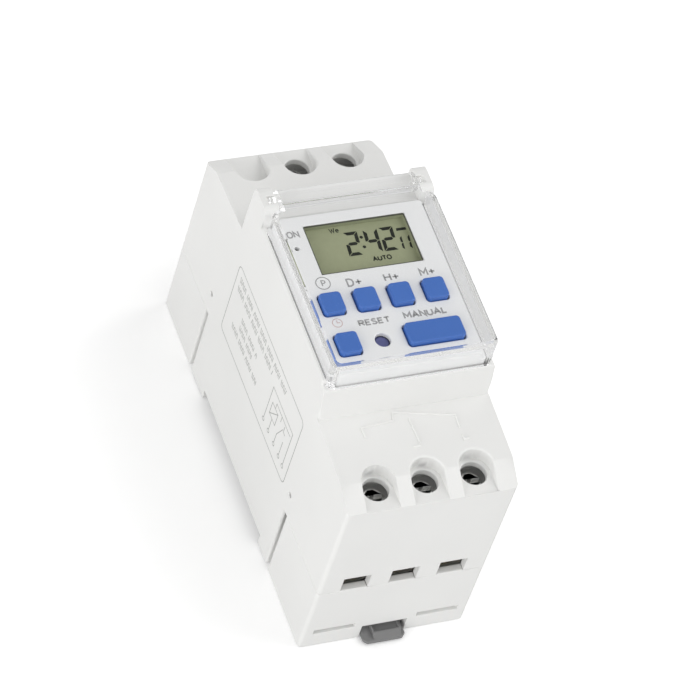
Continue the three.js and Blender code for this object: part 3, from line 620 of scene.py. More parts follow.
def room_limits(shape, chosen):
    """The most that each chosen edge can be rounded before its rounding meets another edge."""
    limits = {
        edge: ROOM_SHARE * min(room_at_end(vert, edge, chosen) for vert in edge.verts) for edge in chosen
    }
    for edge, other in facing_edges(shape, chosen):
        taken = [one for one in (edge, other) if one in chosen]
        share = ROOM_SHARE * (1 if len(taken) == 2 else 2)
        room = share * gap_between(edge, other)
        for one in taken:
            limits[one] = min(limits[one], room)
    return limits


def runs_of(chosen):
    """Groups the chosen edges into runs that turn no corner."""
    left = set(chosen)
    while left:
        run, waiting = [], [left.pop()]
        while waiting:
            edge = waiting.pop()
            run.append(edge)
            for vert in edge.verts:
                for other in vert.link_edges:
                    if other in left and turn_at(vert, edge, other) < STRAIGHT:
                        left.discard(other)
                        waiting.append(other)
        yield run


def mark_round_edges(shape, width_at, hollow_width=0.0):
    """Gives each open edge its rounding as a bevel weight, even along a run.

    Returns the widest rounding.
    """
    weights = shape.edges.layers.float.new("bevel_weight_edge")
    chosen = open_edges(shape, hollow_width > 0)
    limits = room_limits(shape, chosen)
    widths = {}
    for run in runs_of(chosen):
        middles = [(edge.verts[0].co + edge.verts[1].co) / 2 for edge in run]
        wanted = [width_at(middle) for middle in middles]
        if run[0].calc_face_angle_signed(0) < 0:
            wanted = [hollow_width]
        width = min(wanted + [limits[edge] for edge in run])
        widths.update(dict.fromkeys(run, width))
    widest = max(widths.values())
    for edge, width in widths.items():
        edge[weights] = width / widest
    return widest


# Faces that meet at more than this are shaded apart
SHADED_APART = math.radians(32)


def place_piece(name, shape, material, body, slot, round_width=None, steps=3):
    """Makes an object of a shape in millimetres, which rides on a body."""
    mesh = bpy.data.meshes.new(name)
    bmesh.ops.scale(shape, vec=(MM, MM, MM), verts=shape.verts)
    shape.to_mesh(mesh)
    shape.free()
    mesh.shade_smooth()
    mesh.set_sharp_from_angle(angle=SHADED_APART)
    mesh.materials.append(material)
    piece = bpy.data.objects.new(name, mesh)
    bpy.context.collection.objects.link(piece)
    if round_width:
        rounding = piece.modifiers.new("rounding", "BEVEL")
        rounding.limit_method = "WEIGHT"
        rounding.width = round_width * MM
        rounding.segments = steps
        rounding.use_clamp_overlap = False
        rounding.loop_slide = False
        flats = piece.modifiers.new("flats_stay_flat", "WEIGHTED_NORMAL")
        flats.keep_sharp = True
    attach(piece, body)
    return piece


def rounded_piece(node, name, material, width, steps=3, hollow_width=0.0, trim=None):
    """A node's solid with its open edges rounded, standing for the node.

    Width is a length or a function of the place. Trim, where given, changes the solid before it is rounded.
    """
    shape = cad_shape(node)
    if trim:
        trim(shape)
    width_at = width if callable(width) else lambda place: width
    widest = mark_round_edges(shape, width_at, hollow_width)
    piece = place_piece(name, shape, material, BODY_OF[node], SLOT_OF[node], widest, steps)
    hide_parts(node)
    return piece


def repaint(node, material):
    """Gives a carried-over node its material."""
    target = frame["nodes"][node]
    if target.material_slots:
        target.material_slots[0].material = material
    else:
        target.data.materials.append(material)


# A mitred corner is at most 1 / LEAST_MITRE times as wide as its line
LEAST_MITRE = 0.4


def draw_line(shape, points, width, high, low=0.0):
    """Adds a flat line of the given width through points on the u v plane, mitred at its corners.

    It closes where the last point is the first.
    """
    closed = points[0] == points[-1]
    spots = [Vector(point) for point in (points[:-1] if closed else points)]
    count = len(spots)
    rings = []
    for index, spot in enumerate(spots):
        ways = []
        if closed or index > 0:
            ways.append((spot - spots[index - 1]).normalized())
        if closed or index < count - 1:
            ways.append((spots[(index + 1) % count] - spot).normalized())
        along = sum(ways, Vector((0, 0))).normalized()
        across = Vector((-along.y, along.x)) * (width / 2 / max(LEAST_MITRE, along.dot(ways[0])))
        corners = (spot + across, spot - across)
        rings.append(
            [shape.verts.new((corner.x, corner.y, high)) for corner in corners]
            + [shape.verts.new((corner.x, corner.y, low)) for corner in reversed(corners)]
        )
    for index in range(count if closed else count - 1):
        ring, following = rings[index], rings[(index + 1) % count]
        for side in range(4):
            turn = (side + 1) % 4
            shape.faces.new((ring[side], following[side], following[turn], ring[turn]))
    if not closed:
        shape.faces.new(rings[0])
        shape.faces.new(reversed(rings[-1]))


def draw_patch(shape, points, high, low=0.0):
    """Adds a flat patch with the given outline, counter-clockwise."""
    top = [shape.verts.new((u, v, high)) for u, v in points]
    bottom = [shape.verts.new((u, v, low)) for u, v in points]
    shape.faces.new(top)
    shape.faces.new(bottom[::-1])
    count = len(points)
    for index in range(count):
        following = (index + 1) % count
        shape.faces.new((top[following], top[index], bottom[index], bottom[following]))


# Letters as strokes in a box one high, with each letter's width first
STROKES = {
    "A": (0.72, [[(0, 0), (0.36, 1), (0.72, 0)], [(0.13, 0.36), (0.59, 0.36)]]),
    "D": (0.62, [[(0, 0), (0, 1), (0.3, 1), (0.54, 0.84), (0.62, 0.5), (0.54, 0.16), (0.3, 0), (0, 0)]]),
    "E": (0.5, [[(0.5, 1), (0, 1), (0, 0), (0.5, 0)], [(0, 0.52), (0.44, 0.52)]]),
    "H": (0.62, [[(0, 0), (0, 1)], [(0.62, 0), (0.62, 1)], [(0, 0.52), (0.62, 0.52)]]),
    "L": (0.46, [[(0, 1), (0, 0), (0.46, 0)]]),
    "M": (0.76, [[(0, 0), (0, 1), (0.38, 0.34), (0.76, 1), (0.76, 0)]]),
    "N": (0.62, [[(0, 0), (0, 1), (0.62, 0), (0.62, 1)]]),
    "O": (0.7, [[(0.2, 0), (0, 0.25), (0, 0.75), (0.2, 1), (0.5, 1), (0.7, 0.75), (0.7, 0.25),
                 (0.5, 0), (0.2, 0)]]),
    "P": (0.54, [[(0, 0), (0, 1), (0.34, 1), (0.54, 0.86), (0.54, 0.62), (0.34, 0.46), (0, 0.46)]]),
    "R": (0.58, [[(0, 0), (0, 1), (0.34, 1), (0.54, 0.86), (0.54, 0.64), (0.34, 0.5), (0, 0.5)],
                 [(0.3, 0.5), (0.58, 0)]]),
    "S": (0.54, [[(0.5, 0.86), (0.36, 1), (0.14, 1), (0.02, 0.8), (0.12, 0.58), (0.42, 0.44),
                  (0.54, 0.22), (0.4, 0), (0.14, 0), (0, 0.14)]]),
    "T": (0.6, [[(0, 1), (0.6, 1)], [(0.3, 1), (0.3, 0)]]),
    "U": (0.62, [[(0, 1), (0, 0.22), (0.18, 0), (0.44, 0), (0.62, 0.22), (0.62, 1)]]),
    "W": (0.9, [[(0, 1), (0.22, 0), (0.45, 0.8), (0.68, 0), (0.9, 1)]]),
    "e": (0.5, [[(0, 0.34), (0.5, 0.34), (0.42, 0.6), (0.12, 0.62), (0, 0.4), (0.08, 0.06),
                 (0.24, 0), (0.46, 0.08)]]),
    "+": (0.6, [[(0, 0.45), (0.6, 0.45)], [(0.3, 0.12), (0.3, 0.78)]]),
}
LETTER_GAP = 0.24


def draw_word(shape, text, middle, size, width, high):
    """Adds a word in stroke letters that fills a box of size (width, height) round a middle."""
    length = sum(STROKES[letter][0] for letter in text) + LETTER_GAP * (len(text) - 1)
    stretch = (size[0] - width) / length
    rise = size[1] - width
    start = middle[0] - (size[0] - width) / 2
    for letter in text:
        advance, lines = STROKES[letter]
        for line in lines:
            points = [(start + u * stretch, middle[1] + (v - 0.5) * rise) for u, v in line]
            draw_line(shape, points, width, high)
        start += (advance + LETTER_GAP) * stretch


def ring_points(middle, radius, steps=28, start=0.0, turn=math.tau):
    """Points along a circle or an arc."""
    ends = steps if turn == math.tau else steps + 1
    spots = []
    for index in range(ends):
        angle = start + turn * index / steps
        spots.append((middle[0] + radius * math.cos(angle), middle[1] + radius * math.sin(angle)))
    if turn == math.tau:
        spots.append(spots[0])
    return spots


def round_box_points(low, high, radius, steps=5):
    """The closed outline of a box with round corners."""
    spots = []
    corners = (
        (high[0] - radius, low[1] + radius, -math.pi / 2),
        (high[0] - radius, high[1] - radius, 0),
        (low[0] + radius, high[1] - radius, math.pi / 2),
        (low[0] + radius, low[1] + radius, math.pi),
    )
    for u, v, start in corners:
        spots += ring_points((u, v), radius, steps, start, math.pi / 2)
    return spots + [spots[0]]


def lay_on(shape, origin, u_axis=(1, 0, 0), v_axis=(0, 1, 0)):
    """Moves a shape drawn on the u v plane to a surface in the part's frame."""
    u_axis, v_axis = Vector(u_axis).normalized(), Vector(v_axis).normalized()
    turn = Matrix((u_axis, v_axis, u_axis.cross(v_axis))).transposed().to_4x4()
    bmesh.ops.transform(shape, matrix=Matrix.Translation(origin) @ turn, verts=shape.verts)
    bmesh.ops.recalc_face_normals(shape, faces=shape.faces)


# Housings

# Heights of the wire slots and of the seam. Edges up to LOW_EDGES_TOP are rounded as the slots' are.
SLOT_BAND = (18.6, 23.4)
SEAM_BAND = (23.4, 25.1)
LOW_EDGES_TOP = 5.9
# From the case's middle, how far along it the end walls begin, and how far across it the side walls
END_WALL = 41.0
SIDE_WALL = 17.0
# The screw pits from the case's middle, along and across it, their floor's height and the holes in it
PIT_BAND = (35.0, 43.0)
PIT_SIDE = 15.0
PIT_FLOOR = 45.9
SAME_HEIGHT = 0.05
SCREW_HOLE_RADIUS = 3.0
TERMINAL_Y = 38.35
# Roundings of the edges in these places
SLOT_ROUND = 0.14
SCREW_HOLE_ROUND = 0.28
PIT_ROUND = 0.5
SEAM_ROUND = 0.12


def housing_round(edge_round):
    """Rounding of a housing edge by its place: small at slots and seams, soft at the pits."""

    def width_at(place):
        aside, along, height = abs(place.x), abs(place.y - SHIFT_Y), place.z
        if height < LOW_EDGES_TOP or (SLOT_BAND[0] < height < SLOT_BAND[1] and along > END_WALL):
            return SLOT_ROUND
        if abs(height - PIT_FLOOR) < SAME_HEIGHT and abs(along - TERMINAL_Y) < SCREW_HOLE_RADIUS:
            return SCREW_HOLE_ROUND
        if SEAM_BAND[0] < height < SEAM_BAND[1] and aside > SIDE_WALL:
            return SEAM_ROUND
        if PIT_BAND[0] < along < PIT_BAND[1] and aside < PIT_SIDE and height > PIT_FLOOR:
            return PIT_ROUND
        return edge_round

    return width_at


class TIMER_OT_housings(Operator):
    """Moulds the front and back housings with rounded edges"""

    bl_idname = "timer.housings"
    bl_label = "Housings"

    def execute(self, context):
        settings = context.scene.timer_switch.case
        shell = moulded_plastic(
            "housing_warm_white", settings.colour, settings.roughness, settings.grain_depth
        )
        width_at = housing_round(settings.edge_round / MM)
        rounded_piece("front_housing", "front_housing_moulding", shell, width_at)
        rounded_piece("back_housing", "back_housing_moulding", shell, width_at)
        return {"FINISHED"}


# Raised changeover contact on the near shoulder, drawn in x and y

# Place along the case and height, at the low and at the high end of the shoulder's slope
SHOULDER_LOW = (-37.8, 48.8)
SHOULDER_HIGH = (-23.7, 49.8)
CONTACT_LINES = (
    [(-9.8, -29.1), (-9.9, -26.65), (-3.2, -26.25), (-2.8, -24.45), (9.5, -27.1), (9.45, -30.0)],
    [(0.05, -26.4), (0.5, -31.9)],
    [(-1.2, -32.4), (0.4, -32.4)],
    [(9.4, -31.5), (9.5, -32.6), (10.7, -32.4)],
)
RAISED_WIDTH = 0.32
RAISED_ROOT = -0.1
RAISED_ROUND = 0.09


class TIMER_OT_raised_diagram(Operator):
    """Raises the changeover contact's lines from the near shoulder"""

    bl_idname = "timer.raised_diagram"
    bl_label = "Raised contact diagram"

    def execute(self, context):
        settings = context.scene.timer_switch
        shape = bmesh.new()
        low_y, low_z = SHOULDER_LOW
        high_y, high_z = SHOULDER_HIGH
        slope = (high_z - low_z) / (high_y - low_y)
        stretch = math.hypot(1, slope)
        height = settings.marks.raised_height / MM
        for line in CONTACT_LINES:
            points = [(x, (y - low_y) * stretch) for x, y in line]
            draw_line(shape, points, RAISED_WIDTH, height, RAISED_ROOT)
        lay_on(shape, (0, low_y + SHIFT_Y, low_z), (1, 0, 0), (0, 1, slope))
        widest = mark_round_edges(shape, lambda place: RAISED_ROUND)
        case = settings.case
        # The raised lines are painted 4 % paler than the housing: a painted highlight on their tops
        pale = tone(case.colour, 1.04)
        shell = moulded_plastic("raised_line_painted_highlight", pale, case.roughness, case.grain_depth)
        place_piece("raised_contact_diagram", shape, shell, "case", "case_plastic", widest, steps=2)
        return {"FINISHED"}


# Print on the left side: its frame, rows of blind strokes and a plain connection diagram.
# Here u runs from the far end to the near end and v runs up.

FRAME_LOW = (-19.5, 22.7)
FRAME_HIGH = (19.5, 43.0)
FRAME_CORNER = 1.2
PRINT_LINE = 0.17
# Rows of blind strokes: start, end, height on the wall and stroke length
BLIND_ROWS = (
    (-17.6, 10.2, 40.4, 1.5),
    (-17.6, 3.6, 37.9, 1.5),
    (-12.6, -3.6, 33.6, 1.3),
    (-12.6, -4.4, 31.2, 1.3),
    (-15.6, -0.6, 28.4, 1.4),
)
# Strokes stand ROW_PITCH apart, and GROUP_GAP times as far between groups. They lean each way in turn.
ROW_PITCH = 0.5
STROKE_LEANS = (-0.12, 0.0, 0.12)
STROKES_IN_GROUP = 7
GROUP_GAP = 2.4
# Plain connection diagram: relay coil, changeover contact and supply loop, with a ring at each line's end
CIRCUIT = (
    ((7.0, 29.6), (10.2, 29.6), (10.2, 33.0), (7.0, 33.0), (7.0, 29.6)),
    ((7.0, 29.6), (10.2, 33.0)),
    ((8.6, 33.0), (8.6, 34.6), (16.6, 34.6)),
    ((8.6, 29.6), (8.6, 26.15)),
    ((11.8, 26.15), (11.8, 29.0), (13.4, 32.6)),
    ((11.8, 34.6), (11.8, 33.0)),
    ((13.8, 34.0), (13.8, 32.4), (14.8, 32.4)),
    ((14.8, 26.15), (14.8, 30.4)),
    ((17.2, 26.15), (17.2, 36.2), (5.6, 36.2), (5.6, 26.15)),
)
# The rings' places along the wall, their height and their radius
CIRCUIT_ENDS = (5.6, 8.6, 11.8, 14.8, 17.2)
END_HEIGHT = 25.7
END_RADIUS = 0.45


def side_print(shape, thick):
    """The side print's lines, as (u, v) on the left wall."""
    draw_line(shape, round_box_points(FRAME_LOW, FRAME_HIGH, FRAME_CORNER), PRINT_LINE, thick)
    for start, end, height, tall in BLIND_ROWS:
        place = start
        stroke = 0
        while place < end:
            lean = STROKE_LEANS[stroke % len(STROKE_LEANS)]
            ends = [(place - lean, height - tall / 2), (place + lean, height + tall / 2)]
            draw_line(shape, ends, PRINT_LINE, thick)
            stroke += 1
            place += ROW_PITCH * (GROUP_GAP if stroke % STROKES_IN_GROUP == 0 else 1)
    for line in CIRCUIT:
        draw_line(shape, line, PRINT_LINE, thick)
    for u in CIRCUIT_ENDS:
        draw_line(shape, ring_points((u, END_HEIGHT), END_RADIUS, steps=16), PRINT_LINE, thick)


class TIMER_OT_side_print(Operator):
    """Prints the frame, the blind strokes and a plain connection diagram on the left side"""

    bl_idname = "timer.side_print"
    bl_label = "Side print"

    def execute(self, context):
        settings = context.scene.timer_switch.marks
        shape = bmesh.new()
        side_print(shape, settings.ink_thickness / MM)
        lay_on(shape, (LEFT_WALL, SHIFT_Y, 0), (0, -1, 0), (0, 0, 1))
        grey = ink("side_print_grey", settings.diagram_colour)
        place_piece("side_print", shape, grey, "case", "case_plastic")
        return {"FINISHED"}


# Front panel and its legends, by x and y on the panel's face

# Each word has its middle, the box that it fills and the width of its strokes
WORDS = (
    ("ON", (-13.0, 12.3), (2.6, 1.6), 0.3),
    ("D+", (-4.75, -0.65), (3.2, 2.0), 0.34),
    ("H+", (2.95, -0.7), (3.2, 1.9), 0.34),
    ("M+", (10.45, -0.7), (3.3, 1.9), 0.34),
    ("RESET", (-4.0, -10.3), (6.6, 1.45), 0.32),
    ("MANUAL", (6.6, -10.1), (9.0, 1.6), 0.36),
    ("P", (-10.85, 0.08), (0.95, 1.5), 0.24),
)
# Rings by their middle and radius
PROGRAM_RING = ((-10.95, 0.08), 1.43)
CLOCK_RING = ((-11.3, -9.45), 0.98)
LEGEND_LINE = 0.2
CLOCK_LINE = 0.16
# Lengths of the clock mark's two hands, as shares of its radius
HANDS = (0.65, 0.6)
PANEL_ROUND = 0.22


class TIMER_OT_front_panel(Operator):
    """Moulds the front panel and prints its legends"""

    bl_idname = "timer.front_panel"
    bl_label = "Front panel"

    def execute(self, context):
        case = context.scene.timer_switch.case
        marks = context.scene.timer_switch.marks
        roughness = case.roughness + 0.05
        # Its colour carries painted light, to make up for the light lost under the cover
        plate = moulded_plastic("panel_cool_white", case.panel_colour, roughness, case.grain_depth)
        rounded_piece("front_panel", "front_panel_moulding", plate, PANEL_ROUND)
        thick = marks.ink_thickness / MM
        shape = bmesh.new()
        for text, middle, size, stroke in WORDS:
            draw_word(shape, text, middle, size, stroke, thick)
        draw_line(shape, ring_points(*PROGRAM_RING), LEGEND_LINE, thick)
        lay_on(shape, (*UNDER_LID, PANEL_TOP))
        grey = ink("legend_grey", marks.legend_colour)
        place_piece("panel_legends", shape, grey, "case", "panel_plastic")
        dial = bmesh.new()
        middle, radius = CLOCK_RING
        draw_line(dial, ring_points(middle, radius), CLOCK_LINE, thick)
        up, right = (radius * hand for hand in HANDS)
        hands = [(middle[0], middle[1] + up), middle, (middle[0] + right, middle[1])]
        draw_line(dial, hands, CLOCK_LINE, thick)
        lay_on(dial, (*UNDER_LID, PANEL_TOP))
        faint = ink("dial_faint_red", marks.dial_colour)
        place_piece("panel_clock_mark", dial, faint, "case", "panel_plastic")
        return {"FINISHED"}


# Keys

# The keys' mould is smoother than the case's, and their blue less even
KEY_GRAIN = 0.000008
KEY_SPREAD = 0.06
KEY_ROUGHNESS = 0.38
RESET_ROUGHNESS = 0.42


class TIMER_OT_keys(Operator):
    """Moulds the six keys and the reset button"""

    bl_idname = "timer.keys"
    bl_label = "Keys"

    def execute(self, context):
        settings = context.scene.timer_switch.keys
        blue = moulded_plastic("key_blue", settings.colour, KEY_ROUGHNESS, KEY_GRAIN, spread=KEY_SPREAD)
        round_width = settings.edge_round / MM
        for key in KEYS:
            rounded_piece(key, key + "_cap", blue, round_width, steps=2)
        deep = moulded_plastic(
            "reset_deep_blue", settings.reset_colour, RESET_ROUGHNESS, KEY_GRAIN, spread=KEY_SPREAD
        )
        rounded_piece("reset_button", "reset_button_cap", deep, round_width, steps=2)
        return {"FINISHED"}


# Display. Digits stand upright in u and v and are then leaned. Their bars are named by their place.

DIGIT_SIZE = (2.2, 4.95)
SMALL_DIGIT_SIZE = (1.1, 3.0)
BAR_WIDTH = 0.74
SMALL_BAR_WIDTH = 0.44
BAR_GAP = 0.08
# Each bar's two ends in the digit's unit box, and which way is out of the digit
BARS = {
    "top": ((0, 1), (1, 1), (0, 1)),
    "middle": ((0, 0.5), (1, 0.5), (0, 0)),
    "bottom": ((0, 0), (1, 0), (0, -1)),
    "upper_left": ((0, 0.5), (0, 1), (-1, 0)),
    "upper_right": ((1, 0.5), (1, 1), (1, 0)),
    "lower_left": ((0, 0), (0, 0.5), (-1, 0)),
    "lower_right": ((1, 0), (1, 0.5), (1, 0)),
}
# The bars that make each character
LIT = {
    "1": ("upper_right", "lower_right"),
    "2": ("top", "upper_right", "middle", "lower_left", "bottom"),
    "4": ("upper_left", "upper_right", "middle", "lower_right"),
}
# Each digit of the time and of its seconds with its middle
DIGITS = (("2", (-1.2, 9.2)), ("4", (2.95, 9.2)), ("2", (6.25, 9.2)))
SECONDS = (("1", (8.1, 7.8)), ("1", (9.72, 7.8)))
COLON = ((0.95, 10.45), (0.8, 8.1))
COLON_RADIUS = 0.36
DASH = ((8.5, 10.75), (10.55, 10.75), (10.62, 11.4), (8.57, 11.4))
DISPLAY_WORDS = (
    ("We", (-3.95, 12.95), (2.0, 1.25), 0.2),
    ("AUTO", (3.4, 4.95), (4.0, 1.15), 0.26),
)
SEGMENT_THICKNESS = 0.012
# Surround that lines the window, by its middle line: the window's walls painted a darker olive, painted
# shade with the display's colour as a painted reflection; its lip is the dark edge below the panel's face,
# a painted shadow
RIM_LOW = (-10.58, 1.79)
RIM_HIGH = (10.5, 13.47)
RIM_CORNER = 0.3
RIM_WIDTH = 0.12
LIP_LOW = PANEL_TOP - 0.5
LIP_HIGH = PANEL_TOP - 0.08
GLASS_ROUND = 0.1


def side_bar_outline(corners, ends, out, half):
    """Outline of a bar on the digit's rim, mitred where it meets another at a corner of the digit.

    Corners are its ends in the digit's unit box, and ends are where they lie.
    """
    along = (ends[1] - ends[0]).normalized()
    side = Vector(out) * half
    outline = []
    for point, way, corner in zip(ends, (-along, along), corners):
        reach = 0 if corner[1] == 0.5 else half
        stop = point - way * BAR_GAP
        tip = [stop + way * reach + side, stop, stop - way * half - side]
        outline.extend(tip if way == -along else tip[::-1])
    return outline


def middle_bar_outline(ends, half):
    """Outline of the digit's middle bar, pointed at both ends."""
    along = (ends[1] - ends[0]).normalized()
    side = Vector((-along.y, along.x)) * half
    first = ends[0] + along * BAR_GAP
    last = ends[1] - along * BAR_GAP
    inset = along * half
    lower = [first - side + inset, last - side - inset]
    upper = [last + side - inset, first + side + inset]
    return [*lower, last, *upper, first]


def draw_digit(shape, character, middle, size, bar_width, lean):
    """One digit of separate bars, leaned by the tangent of its slant."""
    half = bar_width / 2
    for name in LIT[character]:
        *corners, out = BARS[name]
        ends = [Vector(((u - 0.5) * size[0], (v - 0.5) * size[1])) for u, v in corners]
        if name == "middle":
            outline = middle_bar_outline(ends, half)
        else:
            outline = side_bar_outline(corners, ends, out, half)
        points = [(middle[0] + spot.x + spot.y * lean, middle[1] + spot.y) for spot in outline]
        draw_patch(shape, points, SEGMENT_THICKNESS)


class TIMER_OT_display(Operator):
    """Fits the display's glass, the painted shade that lines its window and its switched segments"""

    bl_idname = "timer.display"
    bl_label = "Display"

    def execute(self, context):
        settings = context.scene.timer_switch.display
        rounded_piece("display_glass", "display_cell", display_glass(settings), GLASS_ROUND, steps=2)
        lean = math.tan(settings.slant)
        shape = bmesh.new()
        for character, middle in DIGITS:
            draw_digit(shape, character, middle, DIGIT_SIZE, BAR_WIDTH, lean)
        for character, middle in SECONDS:
            draw_digit(shape, character, middle, SMALL_DIGIT_SIZE, SMALL_BAR_WIDTH, lean)
        for middle in COLON:
            draw_patch(shape, ring_points(middle, COLON_RADIUS, steps=12)[:-1], SEGMENT_THICKNESS)
        for text, middle, size, stroke in DISPLAY_WORDS:
            draw_word(shape, text, middle, size, stroke, SEGMENT_THICKNESS)
        draw_patch(shape, DASH, SEGMENT_THICKNESS)
        lay_on(shape, (*UNDER_LID, GLASS_TOP))
        # The surround is painted darker than the display and its lip near black: painted shade on the
        # window's walls
        olive = tone(settings.glass_colour, 0.9)
        for name, colour, low, high in (
            ("display_surround_painted_shade", olive, GLASS_TOP, LIP_LOW),
            ("display_painted_shade_lip", settings.window_shade_colour, LIP_LOW, LIP_HIGH),
        ):
            rim = bmesh.new()
            outline = round_box_points(RIM_LOW, RIM_HIGH, RIM_CORNER, steps=2)
            draw_line(rim, outline, RIM_WIDTH, high - low)
            lay_on(rim, (0, SHIFT_Y, low))
            silicone_and_painted_shade = moulded_plastic(name, colour, roughness=0.6, grain_depth=0.00001, spread=0.05)
            place_piece(name, rim, silicone_and_painted_shade, "case", "black_plastic")
        place_piece("display_segments", shape, display_segment(settings), "case", "display_glass")
        return {"FINISHED"}


# Cover and clip

# The crest of the cover's softened edge, by its height, up to where the hinge begins
CREST_LOW = COVER_TOP - 0.3
CREST_HIGH = COVER_TOP - 0.23
CREST_END = 16.0
CLIP_ROUND = 0.2


def chamfer_cover(shape):
    """Cuts the crest off the cover's softened edge, which leaves one flat chamfer."""
    crest = [
        edge
        for edge in shape.edges
        if all(CREST_LOW < vert.co.z < CREST_HIGH for vert in edge.verts)
        and all(vert.co.y < CREST_END + SHIFT_Y for vert in edge.verts)
    ]
    bmesh.ops.dissolve_edges(shape, edges=crest, use_verts=True)


class TIMER_OT_cover(Operator):
    """Moulds the clear hinged cover"""

    bl_idname = "timer.cover"
    bl_label = "Clear cover"

    def execute(self, context):
        settings = context.scene.timer_switch.cover
        rounded_piece(
            "clear_cover",
            "clear_cover_moulding",
            clear_plastic(settings),
            settings.edge_round / MM,
            hollow_width=settings.inner_round / MM,
            trim=chamfer_cover,
        )
        return {"FINISHED"}


class TIMER_OT_rail_clip(Operator):
    """Moulds the rail clip with its pull tab"""

    bl_idname = "timer.rail_clip"
    bl_label = "Rail clip"

    def execute(self, context):
        colour = context.scene.timer_switch.fittings.clip_colour
        grey = moulded_plastic("clip_dark_grey", colour, roughness=0.4, grain_depth=0.00001, spread=0.05)
        rounded_piece("rail_clip", "rail_clip_moulding", grey, CLIP_ROUND)
        return {"FINISHED"}


# Terminals and the parts inside

SCREW_ROUND = 0.12
# Ways in which metal was drawn, along y or along z
DRAWN_Y = (1, 0.1, 1)
DRAWN_Z = (1, 1, 0.1)


class TIMER_OT_terminals(Operator):
    """Turns the terminal screws and plates the cages and bus bars"""

    bl_idname = "timer.terminals"
    bl_label = "Terminals"

    def execute(self, context):
        settings = context.scene.timer_switch.fittings
        bright = tone(settings.steel_colour, 1.3)
        screw = plated_metal("screw_zinc", bright, roughness=0.3, metallic=0.5)
        cage = plated_metal("cage_zinc", settings.steel_colour, roughness=0.4, lines=DRAWN_Y)
        bar = plated_metal("bus_bar_brass", settings.brass_colour, roughness=0.32, lines=DRAWN_Y)
        for name in TERMINALS:
            rounded_piece(name + "_screw", name + "_screw_turned", screw, SCREW_ROUND, steps=2)
            repaint(name + "_cage", cage)
            repaint(name + "_bus_bar", bar)
        return {"FINISHED"}


BLACK_EPOXY = (0.022, 0.022, 0.024)
GREY_SILICONE = (0.33, 0.33, 0.32)
BARE_COPPER = (0.72, 0.40, 0.24)
ENAMELLED_COPPER = (0.62, 0.26, 0.11)
# Moulded parts inside: finish, colour, roughness, grain depth in metres, grain scale per metre, and spread
INNER_PLASTICS = {
    "display_frame": ("frame_white", (0.72, 0.72, 0.71), 0.5, 0.00001, 3200.0, 0.02),
    "ribbon_link": ("ribbon_grey", (0.42, 0.42, 0.42), 0.5, 0.00002, 1800.0, 0.1),
    "storage_capacitor": ("can_sleeve", (0.015, 0.018, 0.03), 0.3, 0.00001, 3200.0, 0.2),
    "relay_case": ("relay_blue", (0.02, 0.08, 0.36), 0.35, 0.00001, 3200.0, 0.08),
    "indicator_led": ("lamp_red", (0.30, 0.03, 0.02), 0.2, 0.000004, 3200.0, 0.15),
    "dropper_capacitor": ("film_yellow", (0.50, 0.33, 0.05), 0.4, 0.00001, 3200.0, 0.06),
    "varistor": ("varistor_blue", (0.03, 0.13, 0.38), 0.5, 0.00003, 900.0, 0.15),
    "fuse_resistor": ("resistor_green", (0.14, 0.26, 0.13), 0.6, 0.00003, 1500.0, 0.15),
}


class TIMER_OT_inside(Operator):
    """Finishes the boards, the relay and the other parts inside the case"""

    bl_idname = "timer.inside"
    bl_label = "Inside parts"

    def execute(self, context):
        settings = context.scene.timer_switch.fittings
        epoxy = moulded_plastic(
            "part_black", BLACK_EPOXY, roughness=0.45, grain_depth=0.00002, spread=0.2
        )
        silicone_and_painted_shade = moulded_plastic(
            "silicone_grey", GREY_SILICONE, roughness=0.75, grain_depth=0.00001, spread=0.04
        )
        steel = plated_metal("part_steel", settings.steel_colour, roughness=0.3, lines=DRAWN_Y)
        brass = plated_metal("contact_brass", settings.brass_colour, roughness=0.3)
        blade = plated_metal("contact_blade_copper", BARE_COPPER, roughness=0.3, lines=DRAWN_Z)
        shared = (
            (lacquered_board(settings), ("display_board", "power_board")),
            (silicone_and_painted_shade, ("contact_strip", "keypad_mat")),
            (epoxy, ("timer_chip", "bridge_rectifier", "driver_transistor", "relay_base")),
            (wound_wire("coil_copper", ENAMELLED_COPPER), ("relay_coil",)),
            (steel, ("relay_yoke", "relay_armature", "clock_crystal", "backup_battery")),
            (blade, ("relay_contact_blade",)),
            (brass, ("relay_make_contact", "relay_break_contact")),
        )
        for material, nodes in shared:
            for node in nodes:
                repaint(node, material)
        for node, finish in INNER_PLASTICS.items():
            repaint(node, moulded_plastic(*finish))
        return {"FINISHED"}


# Studio, in metres but for the sensor's millimetres

SENSOR_WIDTH = 36.0
SEEN_TO = 20.0
FLOOR_HALF = 2.0
FLOOR_DROP = 0.00003
TARGET = (0, 0, 0.03)
KEY_PLACE = (0.85, -0.05, 0.9)
KEY_SIZE = 0.9
FILL_PLACE = (-0.9, -0.55, 0.22)
FILL_SIZE = 0.8
# The paper's glow grows from the switch outwards, by distance in metres with its length shrunk, so the
# paper near the switch is left darker as a painted shadow round it
PAINTED_SHADOW_STRETCH = (1.0, 0.55, 0.0)
PAINTED_SHADOW_RADII = (0.028, 0.06)
PAINTED_SHADOW_GLOW = (0.14, 0.32)
# The tent is a little brighter at its sides than overhead
TENT_SIDE = 1.14
TENT_TOP = 0.84
# The tent's dark part, which keeps white reflections off the lid when seen from the near left
FLAG_WAY = (0.361, 0.516, 0.777)
# A ray that has turned less often than this has not turned at all
NO_TURN = 0.5


def seen_ray(tree):
    """1 for rays that look at the floor or the sky straight or through clear plastic only."""
    path = light_path(tree)
    turns = maths(tree, "MAXIMUM", path["Diffuse Depth"], path["Glossy Depth"])
    turns = maths(tree, "MAXIMUM", turns, trapped_ray(tree))
    return maths(tree, "LESS_THAN", turns, NO_TURN)


def vector_maths(tree, operation, vector, other=None):
    """A node that works on one vector, or on two."""
    node = tree.nodes.new("ShaderNodeVectorMath")
    node.operation = operation
    tree.links.new(vector, node.inputs[0])
    if other is not None:
        node.inputs[1].default_value = other
    return node


